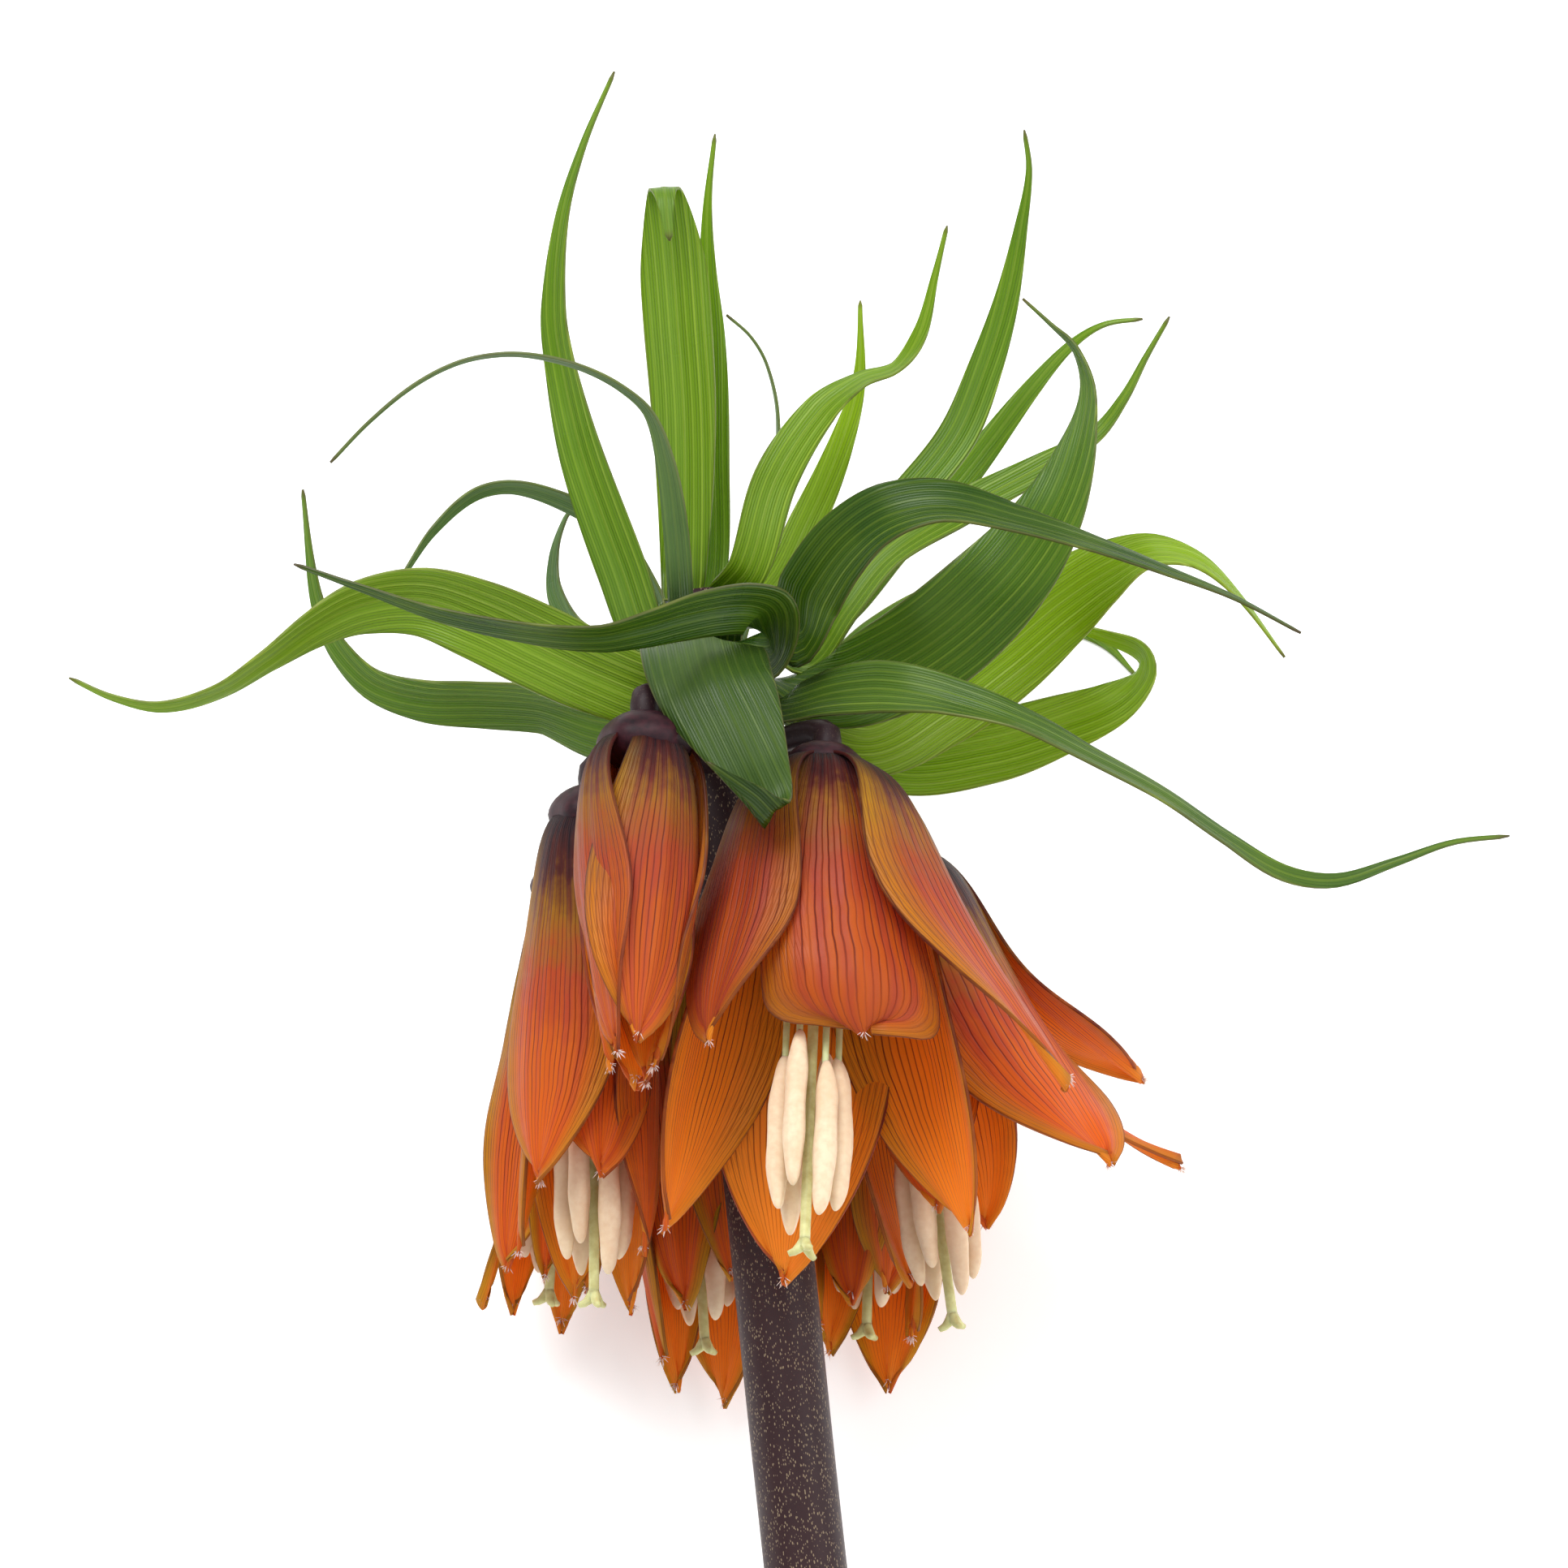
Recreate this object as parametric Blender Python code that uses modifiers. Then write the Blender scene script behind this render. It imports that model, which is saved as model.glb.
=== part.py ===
# A cut crown imperial lying on a flat surface: a stem with its pedicels, seven
# hanging bells with their stamens, and the crown of leaves above them.
#
# Points are written in the flower's own view frame, in millimetres: x to the
# viewer's right, y towards the crown, z towards the viewer, with the origin near
# the middle of the flower head. A point's x and y are given as they look from
# VIEW_DISTANCE on the plane z = 0, so they are drawn in towards the middle the
# nearer the point is. lay_down() turns that frame onto the surface.
import math

import bmesh
import bpy
from mathutils import Matrix, Vector

MM = 0.001
VIEW_DISTANCE = 900.0
LAY_ANGLE = math.radians(24.0)
REST_HEIGHT = 54.8
CENTRE_SHIFT = (-0.26, 43.64)

# Stem: its axis crosses the plane z = 0 at STEM_MIDDLE.
STEM_MIDDLE = Vector((-3.65, -38.0, 0.0))
STEM_DIRECTION = Vector((-0.1067, 0.9791, -0.1736)).normalized()
STEM_RADIUS = 5.15
STEM_CUT_Y = -178.2
FLOWER_WHORL_Y = 2.0
LEAF_TIERS = (6.5, 10.0, 13.5, 17.0, 20.5)
APEX_Y = 24.0
APEX_RADIUS = 2.4
STEM_SIDES = 16
PEDICEL_RADIUS = 1.7

GAP = 0.3
LEAF_THICKNESS = 0.8
LEAF_ROWS = 13
LEAF_COLUMNS = 2
LEAF_BASE_HALF_WIDTH = 2.1
TEPAL_THICKNESS = 0.7
TEPAL_ROWS = 6
TEPAL_COLUMNS = 4

COLOURS = {
    "stem": ((0.055, 0.030, 0.038, 1.0), 0.5),
    "leaf": ((0.105, 0.235, 0.030, 1.0), 0.38),
    "petal": ((0.680, 0.185, 0.030, 1.0), 0.55),
    "stamen": ((0.830, 0.720, 0.530, 1.0), 0.6),
}

# Each leaf: angle of its root round the stem (0 faces the viewer, 90 is to the
# right), tier, half width, and stations of x, y, z and roll, or of x, y, z and
# the direction across the blade. Roll 0 shows the full width, 90 the edge.
LEAVES = {
    "leaf_tall_left": dict(
        angle=-80, tier=4, half=3.2, widest=0.25,
        path=[(-16.6, 17.6, -10, 0), (-20.1, 26.6, -12, 10), (-25.1, 40.6, -14, 20),
              (-27.6, 51.6, -16, 35), (-28.4, 58.6, -16, 35), (-27.4, 69.6, -15, 40),
              (-24.8, 78.6, -14, 40), (-20.9, 87.8, -13, 40)],
    ),
    "leaf_upright_folded": dict(
        angle=-145, tier=4, half=4.3, widest=0.65, base=2.3, tip=0.9,
        path=[(-12.4, 25.6, -15.5, 1, 0, 0), (-12.2, 36.6, -16, 1, 0, 0),
              (-12.4, 46.6, -16, 1, 0, 0), (-13.1, 56.6, -16, 1, 0, 0),
              (-13.9, 66.6, -16, 1, 0.1, 0), (-14.6, 72.3, -15, 1, 0.1, 0),
              (-14.8, 73.4, -12.6, 1, 0.05, 0), (-14.6, 72.0, -10.4, 1, 0, 0),
              (-14.1, 66.9, -9.4, 1, 0, 0)],
    ),
    "leaf_upright_behind": dict(
        angle=-165, tier=2, half=1.9, widest=0.5,
        path=[(-8.6, 26.6, -22, 0), (-8.6, 40.0, -24, 0), (-8.8, 54.6, -25, 0),
              (-9.4, 63.6, -25, 10), (-9.4, 71.6, -24, 20), (-8.5, 80.1, -23, 30)],
    ),
    "leaf_short_upright": dict(
        angle=-178, tier=3, half=2.3, widest=0.4,
        path=[(-1.6, 24.0, -18, 10), (3.0, 32.6, -21, 10), (6.9, 41.6, -22, 10),
              (9.2, 49.6, -22, 10), (9.4, 59.6, -21, 20)],
    ),
    "leaf_curved_middle": dict(
        angle=150, tier=4, half=2.8, widest=0.3,
        path=[(-4.4, 26.6, -11, 0), (-1.0, 37.6, -12, 0), (4.4, 46.1, -13, 25),
              (9.4, 49.8, -13, 55), (13.9, 51.4, -13, 60), (16.8, 55.6, -13, 20),
              (18.6, 62.6, -13, 20), (20.1, 68.8, -12, 30)],
    ),
    "leaf_thin_arch": dict(
        angle=-30, tier=3, half=1.6, widest=0.15, tip=0.35,
        path=[(-12.8, 24.1, 0, 0), (-13.4, 31.6, 3, 10), (-14.6, 39.6, 5, 40),
              (-16.6, 45.6, 6, 68), (-20.1, 48.8, 7, 76), (-24.6, 51.1, 8, 78),
              (-29.6, 52.5, 9, 78), (-34.6, 52.9, 9, 78), (-40.1, 51.9, 9, 76),
              (-45.6, 49.1, 9, 72), (-51.1, 44.6, 9, 68), (-55.9, 39.6, 8, 65)],
    ),
    "leaf_thin_curl": dict(
        angle=-176, tier=0, half=1.1, widest=0.3, tip=0.32,
        path=[(-3.6, 24.6, -26, 60), (-1.1, 36.6, -30, 70), (-0.8, 45.6, -31, 78),
              (-2.1, 51.6, -31, 78), (-4.1, 55.1, -30, 78), (-7.1, 57.8, -29, 75)],
    ),
    "leaf_tall_right": dict(
        angle=85, tier=4, half=2.5, widest=0.5,
        path=[(3.4, 21.8, -11.5, 20), (9.4, 29.6, -15, 20), (15.9, 36.1, -17, 15),
              (21.4, 43.1, -19, 10), (24.9, 51.6, -20, 10), (27.4, 59.6, -20, 10),
              (29.2, 68.6, -19, 15), (30.2, 75.6, -18, 25), (29.6, 80.6, -17, 40)],
    ),
    "leaf_right_behind": dict(
        angle=125, tier=3, half=2.1, widest=0.5,
        path=[(5.4, 20.0, -22, 10), (14.4, 30.0, -27, 10), (21.4, 37.1, -29, 10),
              (30.4, 48.6, -30, 10), (35.4, 54.1, -30, 15), (39.4, 56.6, -29, 40),
              (44.2, 57.3, -28, 50)],
    ),
    "leaf_arch_right": dict(
        angle=40, tier=3, half=4.4, widest=0.28,
        path=[(1.4, 18.4, 5, 10), (3.0, 23.2, 9, 14), (7.0, 29.2, 13, 20),
              (12.4, 33.4, 16, 30), (19.6, 34.8, 17, 45), (29.0, 32.6, 17, 57),
              (38.4, 29.6, 16, 62), (47.4, 26.2, 15, 62), (55.4, 23.0, 14, 65),
              (63.7, 18.6, 13, 70)],
    ),
    "leaf_under_arch": dict(
        angle=90, tier=2, half=2.8, widest=0.35,
        path=[(3.0, 15.4, -8, 40), (7.4, 21.6, -6.5, 45), (12.6, 28.2, -8, 45),
              (21.0, 33.6, -11, 30), (31.8, 39.2, -13, 20), (38.4, 43.1, -14, 30),
              (41.9, 47.6, -14, 35), (44.6, 52.6, -14, 40), (47.5, 57.6, -13, 40)],
    ),
    "leaf_wide_right": dict(
        angle=68, tier=1, half=6.3, widest=0.34, tip=0.35,
        path=[(6.6, 11.8, -1.5, 10), (13.4, 14.4, 0, 0), (19.4, 18.2, 2, 0),
              (25.2, 23.4, 3, 5), (29.8, 28.8, 3, 15), (33.4, 34.8, 3, 25),
              (36.0, 41.4, 2, 40), (37.4, 48.4, 0, 60), (35.9, 53.6, -2, 72),
              (32.9, 56.6, -4, 76), (29.4, 59.8, -5, 78)],
    ),
    "leaf_bright_right": dict(
        angle=92, tier=0, half=6.2, widest=0.38,
        path=[(10.4, 5.8, -11, 10), (18.4, 10.0, -13, 0), (26.8, 16.2, -13, 0),
              (33.6, 22.0, -12, 5), (39.6, 26.2, -10, 25), (45.2, 28.6, -8, 46),
              (50.8, 27.6, -7, 60), (55.6, 23.6, -6, 68), (61.7, 15.6, -5, 72)],
    ),
    "leaf_loop_right": dict(
        angle=115, tier=1, half=4.8, widest=0.35,
        path=[(13.4, 3.6, -17, 10), (25.4, 4.6, -19, 0), (34.4, 7.4, -20, 0),
              (40.6, 10.0, -20, 15), (44.0, 13.2, -22, 45), (44.0, 16.2, -25, 55),
              (39.4, 18.2, -28, 35), (34.0, 19.8, -29, 25), (30.0, 21.2, -29, 20)],
    ),
    "leaf_long_right": dict(
        angle=42, tier=0, half=3.6, widest=0.18,
        path=[(0.4, 9.9, 3.1, 50), (5.4, 11.4, 7.8, 40), (10.4, 12.0, 12, 25),
              (14.8, 11.8, 15, 30), (19.9, 10.9, 17, 45), (29.4, 7.9, 20, 66),
              (37.4, 3.9, 20, 70), (46.4, -1.0, 19, 68), (54.4, -6.6, 18, 62),
              (61.4, -10.9, 17, 40), (67.9, -11.9, 16, 15), (75.4, -9.6, 15, 20),
              (82.4, -7.2, 14, 30), (89.4, -6.4, 13, 40)],
    ),
    "leaf_front_sweep": dict(
        angle=15, tier=2, half=3.8, widest=0.33,
        path=[(-2.0, 16.0, 8.5, 20), (-1.8, 19.2, 14, 18), (-2.4, 21.0, 20, 25),
              (-6.0, 21.4, 26, 40), (-11.4, 20.5, 31, 44), (-17.0, 19.0, 34.5, 50),
              (-23.0, 17.9, 36.5, 57), (-32.0, 18.7, 37, 57), (-42.6, 20.9, 36, 50),
              (-52.0, 24.1, 34, 45), (-60.4, 27.1, 32, 40)],
    ),
    "leaf_front_droop": dict(
        angle=-12, tier=0, half=7.6, widest=0.44, tip=0.5,
        path=[(-9.4, 12.8, 8, 1, 0, 0), (-10.0, 15.8, 14, 1, 0, 0),
              (-10.0, 16.0, 20.5, 1, 0, 0), (-8.8, 12.6, 26.5, 1, 0.08, 0),
              (-6.2, 7.6, 30.0, 1, 0.2, 0), (-3.7, 2.6, 32.5, 0.9, 0.4, 0),
              (-1.7, -1.8, 33.6, 0.75, 0.65, 0), (-1.3, -3.6, 35.2, 0.62, 0.78, 0),
              (-3.6, -1.4, 36.8, 0.5, 0.87, 0), (-9.6, 2.8, 37.2, 0.45, 0.9, 0)],
    ),
    "leaf_wide_left": dict(
        angle=-60, tier=1, half=5.2, widest=0.28,
        path=[(-16.6, 10.9, 2, 10), (-23.6, 13.7, 4, 0), (-30.6, 17.0, 5, 0),
              (-37.6, 20.2, 6, 12), (-44.6, 22.4, 6, 25), (-51.6, 21.8, 7, 35),
              (-57.6, 19.1, 7, 50), (-63.6, 15.1, 8, 60), (-69.6, 11.4, 8, 60),
              (-76.6, 9.5, 8, 45), (-82.6, 10.6, 8, 40), (-88.1, 13.1, 7, 30)],
    ),
    "leaf_low_left": dict(
        angle=-90, tier=0, half=4.9, widest=0.12,
        path=[(-16.6, 7.6, -7.5, 10), (-22.9, 7.4, -11, 20), (-30.6, 9.2, -14, 50),
              (-37.6, 9.8, -16, 45), (-44.6, 10.2, -17, 40), (-50.6, 12.1, -18, 40),
              (-54.6, 16.1, -18, 40), (-56.9, 20.6, -18, 40), (-58.1, 25.6, -17, 40),
              (-59.3, 36.3, -15, 45)],
    ),
    "leaf_hook_left": dict(
        angle=-125, tier=2, half=2.3, widest=0.4,
        path=[(-14.0, 17.4, -21, 60), (-17.0, 24.6, -26, 58), (-21.6, 31.4, -29, 56),
              (-27.2, 34.8, -30, 58), (-33.4, 36.6, -30, 62), (-38.2, 35.6, -30, 58),
              (-43.0, 31.4, -29, 52), (-46.2, 26.8, -28, 50), (-48.6, 22.6, -27, 50)],
    ),
    "leaf_short_left": dict(
        angle=-118, tier=1, half=2.4, widest=0.45,
        path=[(-19.6, 14.8, -22, 50), (-25.4, 18.4, -30, 48), (-28.2, 23.4, -34, 45),
              (-28.3, 28.4, -36, 48), (-27.0, 32.6, -37, 55), (-25.6, 34.6, -37, 60)],
    ),
    "leaf_back_right": dict(
        angle=150, tier=0, half=4.6, widest=0.5,
        path=[(5.0, 11.0, -26, 10), (13.0, 17.0, -38, 10), (21.0, 21.0, -50, 10),
              (28.0, 21.5, -62, 10), (34.0, 18.5, -72, 10), (39.0, 14.0, -76, 10),
              (43.0, 8.0, -78, 10)],
    ),
    "leaf_back_left": dict(
        angle=-138, tier=0, half=4.2, widest=0.5,
        path=[(-13.0, 8.8, -24, 10), (-16.0, 9.2, -37, 10), (-18.2, 5.0, -47, 10),
              (-19.4, -2.0, -54, 10), (-20.6, -10.0, -56, 10), (-21.4, -17.0, -54, 10),
              (-21.8, -23.0, -52, 10)],
    ),
}

# Each bell: the top of its dome, a point on its axis at the mouth, the tepals'
# length, half width and swelling of the shoulder, and six tepals, of which every
# second one is set inside the others: angle round the axis, where its tip is
# seen, degrees of curl at the tip, and a factor for its width. A tepal that ends
# broad also has the share of its length where it is widest, and the half width
# of its end. The stigma hangs at the reach below the top.
BELLS = {
    "front": dict(
        top=(4.9, 3.2, 12), mouth=(3.0, -45.0, 38),
        length=56, half=12.2, shoulder=0.155, reach=66,
        tepals=[(-46, (-9.3, -31.2, 37), -14, 0.72), (9, (9.8, -30.2, 38), -44, 1.04, 0.86, 5.0),
                (58, (34.9, -36.9, 33), -10, 1.05), (122, (22.9, -54.9, 28), -6, 1.0),
                (180, (0.0, -60.9, 20), -6, 0.95), (-120, (-14.6, -54.4, 26), -6, 0.86)],
    ),
    "front_left": dict(
        top=(-17.0, 7.4, 25), mouth=(-18.6, -34.0, 39),
        length=42, half=7.4, shoulder=0.145, reach=35,
        tepals=[(-64, (-20.6, -32.2, 41), -8, 0.9), (30, (-18.0, -31.0, 42.5), -10, 1.2),
                (105, (-16.0, -34.0, 37.5), -8, 0.65), (150, (-17.0, -36.2, 36.8), -8, 0.8),
                (-162, (-18.1, -36.9, 34), -8, 0.95), (-112, (-21.4, -34.6, 36), -8, 0.7)],
    ),
    "right": dict(
        top=(12.6, -7.0, -4), mouth=(20.0, -60.0, 2),
        length=58, half=10.6, shoulder=0.105, reach=60,
        tepals=[(48, (40.1, -46.2, 13), -6, 1.3), (76, (48.7, -46.7, 0), 25, 0.85),
                (122, (44.0, -36.0, -12), -6, 0.7), (178, (24.9, -54.0, -10), -6, 0.9),
                (-122, (15.4, -61.2, -2), -6, 0.9), (-38, (19.0, -52.0, 9), -6, 0.9)],
    ),
    "left": dict(
        top=(-23.2, -1.2, 3), mouth=(-23.4, -58.0, 8),
        length=56, half=8.6, shoulder=0.085, reach=62,
        tepals=[(-38, (-30.1, -48.4, 15), -6, 1.05), (20, (-22.6, -47.6, 15), -8, 1.0),
                (76, (-17.3, -57.4, 9), -6, 0.9), (130, (-18.8, -64.6, 1), -6, 0.85),
                (-172, (-26.0, -62.6, -2), -6, 0.85), (-106, (-32.6, -57.0, 3), -6, 0.8)],
    ),
    "far_left": dict(
        top=(-25.4, -10.4, -17), mouth=(-28.8, -60.0, -15),
        length=54, half=6.6, shoulder=0.075, reach=54,
        tepals=[(-22, (-34.1, -59.4, -8), -6, 1.0), (-84, (-37.1, -63.9, -14), 4, 0.75),
                (-142, (-33.4, -64.6, -20), -6, 1.0), (158, (-27.4, -66.9, -21), -6, 1.0),
                (98, (-24.2, -62.0, -14), -6, 0.85), (38, (-29.4, -60.0, -6.5), -6, 0.95)],
    ),
    "back_left": dict(
        top=(-13.0, -14.0, -24), mouth=(-9.8, -68.0, -15),
        length=58, half=7.8, shoulder=0.11, reach=57,
        tepals=[(152, (-7.3, -76.1, -20), -6, 1.25), (-152, (-13.1, -74.2, -20), -6, 0.7),
                (-92, (-14.9, -69.9, -14), -6, 0.9), (-32, (-12.2, -64.0, -8), -6, 1.0),
                (30, (-6.6, -60.4, -8), -6, 0.9), (92, (-4.4, -66.0, -13), -6, 0.85)],
    ),
    "back_right": dict(
        top=(11.4, -14.0, -25), mouth=(10.2, -66.0, -18),
        length=57, half=7.8, shoulder=0.11, reach=55,
        tepals=[(150, (12.9, -74.2, -20), -6, 1.35), (94, (15.8, -67.4, -18), -6, 0.9),
                (32, (12.6, -62.0, -13), -6, 0.95), (-30, (8.4, -63.4, -13), -6, 0.95),
                (-90, (4.4, -66.0, -16), -6, 0.85), (-150, (5.6, -69.6, -20), -6, 0.95)],
    ),
}

TEPAL_ROOT_RADIUS = 1.6
TEPAL_ROOT_DEPTH = 1.1
TEPAL_WIDEST = 0.6
TEPAL_TIP_HALF_WIDTH = 0.6
SHOULDER_ANGLE = 80.0
OPENING = 5.0
INNER_TEPAL_STEP = 1.5
DOME_TOP_RADIUS = 2.4
DOME_RADIUS = 5.2
DOME_DEPTH = 4.2
DOME_SIDES = 12

ANTHER_SHARE = 0.31
ANTHER_ABOVE_STIGMA = 3.0
ANTHER_RING = 3.2
ANTHER_RADIUS = 1.45
FILAMENT_RADIUS = 0.7
STYLE_RADIUS = 0.7
STIGMA_RADIUS = 1.8
OVARY_RADIUS = 2.2
OVARY_DEPTH = 8.0


def clear_scene():
    for item in list(bpy.data.objects):
        bpy.data.objects.remove(item)


def collection_named(name):
    found = bpy.data.collections.new(name)
    bpy.context.scene.collection.children.link(found)
    return found


def make_material(name):
    colour, roughness = COLOURS[name]
    material = bpy.data.materials.new(name)
    material.use_nodes = True
    shader = material.node_tree.nodes["Principled BSDF"]
    shader.inputs["Base Color"].default_value = colour
    shader.inputs["Roughness"].default_value = roughness
    shader.inputs["Metallic"].default_value = 0.0
    material.diffuse_color = colour
    return material


def seen(x, y, z):
    """The point that looks as if it lay at x, y on the plane z = 0."""
    nearer = 1.0 - z / VIEW_DISTANCE
    return Vector((x * nearer, y * nearer, z))


def lying():
    """The matrix that lays the view frame, in millimetres, on the surface."""
    shift = Vector((CENTRE_SHIFT[0], CENTRE_SHIFT[1], REST_HEIGHT)) * MM
    return Matrix.Translation(shift) @ Matrix.Rotation(LAY_ANGLE, 4, "X") @ Matrix.Scale(MM, 4)


def above_surface(point, clearance):
    """The point, lifted straight up where it would lie under the surface."""
    up = Vector((0.0, math.sin(LAY_ANGLE), math.cos(LAY_ANGLE)))
    height = point.dot(up) + REST_HEIGHT
    return point + up * max(0.0, clearance - height)


def stem_axis(y):
    return STEM_MIDDLE + STEM_DIRECTION * ((y - STEM_MIDDLE.y) / STEM_DIRECTION.y)


def stem_radius(y):
    """The stem is even below the flowers and tapers where the leaves grow."""
    share = min(1.0, max(0.0, (y - FLOWER_WHORL_Y) / (APEX_Y - FLOWER_WHORL_Y)))
    return STEM_RADIUS + (APEX_RADIUS - STEM_RADIUS) * share


def round_stem(angle):
    """Outward and sideways directions at an angle round the stem."""
    front = Vector((0, 0, 1))
    front = (front - STEM_DIRECTION * front.dot(STEM_DIRECTION)).normalized()
    right = STEM_DIRECTION.cross(front)
    turned = math.radians(angle)
    outward = front * math.cos(turned) + right * math.sin(turned)
    sideways = right * math.cos(turned) - front * math.sin(turned)
    return outward, sideways


def smooth_path(points, share):
    """Point and direction at a share of the length of a curve through points."""
    knots = [0.0]
    for first, second in zip(points, points[1:]):
        knots.append(knots[-1] + (second - first).length)
    where = share * knots[-1]
    k = 0
    while k < len(points) - 2 and knots[k + 1] < where:
        k += 1
    low, high = max(0, k - 1), min(len(points) - 1, k + 2)
    span = knots[k + 1] - knots[k]
    u = (where - knots[k]) / span
    start = (points[k + 1] - points[low]) / (knots[k + 1] - knots[low]) * span
    end = (points[high] - points[k]) / (knots[high] - knots[k]) * span
    a, b = points[k], points[k + 1]
    point = (a * (2 * u**3 - 3 * u**2 + 1) + start * (u**3 - 2 * u**2 + u)
             + b * (3 * u**2 - 2 * u**3) + end * (u**3 - u**2))
    slope = (a * (6 * u**2 - 6 * u) + start * (3 * u**2 - 4 * u + 1)
             + b * (6 * u - 6 * u**2) + end * (3 * u**2 - 2 * u))
    return point, slope.normalized()


def across_blade(direction, roll):
    """The direction across a blade that runs in direction, turned by roll."""
    flat = direction.cross(Vector((0, 0, 1))).normalized()
    facing = flat.cross(direction)
    turned = math.radians(roll)
    return flat * math.cos(turned) + facing * math.sin(turned)


def leaf_stations(leaf):
    """Points of the midrib and directions across it, from the root outwards."""
    outward, sideways = round_stem(leaf["angle"])
    tier_y = LEAF_TIERS[leaf["tier"]]
    away = stem_radius(tier_y) + GAP + LEAF_THICKNESS * 0.5
    lean = math.radians(60.0 - 10.0 * leaf["tier"])
    root = stem_axis(tier_y) + outward * away
    leaving = STEM_DIRECTION * math.cos(lean) + outward * math.sin(lean)
    points = [root, root + leaving * 3.0]
    points += [seen(*station[:3]) for station in leaf["path"]]
    lengths = [0.0]
    for first, second in zip(points, points[1:]):
        lengths.append(lengths[-1] + (second - first).length)
    sides = []
    for station, at in zip(leaf["path"], lengths[2:]):
        if len(station) == 6:
            sides.append(Vector(station[3:]))
        else:
            slope = smooth_path(points, min(at / lengths[-1], 1.0))[1]
            sides.append(across_blade(slope, station[3]))
    if sideways.dot(sides[0]) < 0:
        sideways = -sideways
    return points, [sideways, sideways] + sides, [at / lengths[-1] for at in lengths]


def between(values, shares, at):
    k = 0
    while k < len(shares) - 2 and shares[k + 1] < at:
        k += 1
    u = (at - shares[k]) / (shares[k + 1] - shares[k])
    u = min(1.0, max(0.0, u))
    return values[k] * (1 - u) + values[k + 1] * u


def leaf_half_width(leaf, at):
    """Half the blade's width at a share of its length."""
    tip = leaf.get("tip", 0.45)
    root = leaf.get("base", min(LEAF_BASE_HALF_WIDTH, 0.7 * leaf["half"]))
    if at < leaf["widest"]:
        u = math.sin(at / leaf["widest"] * math.pi / 2)
        return root + (leaf["half"] - root) * u
    u = (at - leaf["widest"]) / (1 - leaf["widest"])
    return tip + (leaf["half"] - tip) * (0.5 + 0.5 * math.cos(math.pi * u)) ** 0.85


def solid_sheet(name, columns, rows, place, thickness, material, home):
    """A grid whose points are set by place(across, along), made a solid sheet."""
    mesh = bpy.data.meshes.new(name)
    form = bmesh.new()
    bmesh.ops.create_grid(form, x_segments=columns, y_segments=rows, size=1.0)
    for vertex in form.verts:
        vertex.co = place(vertex.co.x, (vertex.co.y + 1) / 2)
    bmesh.ops.triangulate(form, faces=form.faces)
    form.to_mesh(mesh)
    form.free()
    sheet = bpy.data.objects.new(name, mesh)
    home.objects.link(sheet)
    mesh.materials.append(material)
    shell = sheet.modifiers.new("thickness", "SOLIDIFY")
    shell.thickness = thickness * MM
    shell.offset = 0.0
    return sheet


def build_leaf(name, leaf, material, home):
    points, sides, shares = leaf_stations(leaf)
    laid = lying()

    def place(across, along):
        point, direction = smooth_path(points, along)
        side = between(sides, shares, along)
        side = (side - direction * side.dot(direction)).normalized()
        facing = side.cross(direction)
        half = leaf_half_width(leaf, along)
        trough = 0.18 * half * (across**2 - 1) * math.sin(math.pi * min(1, along * 1.3))
        spot = point + side * (across * half) + facing * trough
        return laid @ above_surface(spot, LEAF_THICKNESS * 0.5)

    return solid_sheet(name, LEAF_COLUMNS, LEAF_ROWS, place, LEAF_THICKNESS, material, home)


def bell_frame(bell):
    """Dome top, axis, the direction of angle 0 and that of angle 90."""
    top = seen(*bell["top"])
    axis = (seen(*bell["mouth"]) - top).normalized()
    front = Vector((0, 0, 1))
    front = (front - axis * front.dot(axis)).normalized()
    return top, axis, front, front.cross(axis)


def tepal_profile(bell, curl, at):
    """Distance from the bell's axis and depth below its top, at a share of the length."""
    steps = 40
    radius, depth = TEPAL_ROOT_RADIUS, TEPAL_ROOT_DEPTH
    for step in range(int(round(at * steps))):
        t = (step + 0.5) / steps
        swell = math.exp(-((t / bell["shoulder"]) ** 1.6))
        near_tip = max(0.0, (t - 0.72) / 0.28)
        lean = OPENING + (SHOULDER_ANGLE - OPENING) * swell + curl * near_tip**1.3
        radius += bell["length"] / steps * math.sin(math.radians(lean))
        depth += bell["length"] / steps * math.cos(math.radians(lean))
    return radius, depth


def tepal_half_width(full, at, widest, tip):
    """A tepal widens from its root and then runs to its point."""
    if at < widest:
        rise = math.sin(at / widest * math.pi / 2) ** (0.5 + widest)
        return full * (0.24 + 0.76 * rise)
    u = (at - widest) / (1 - widest)
    return tip + (full - tip) * (1 - u**2.2)


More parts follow.
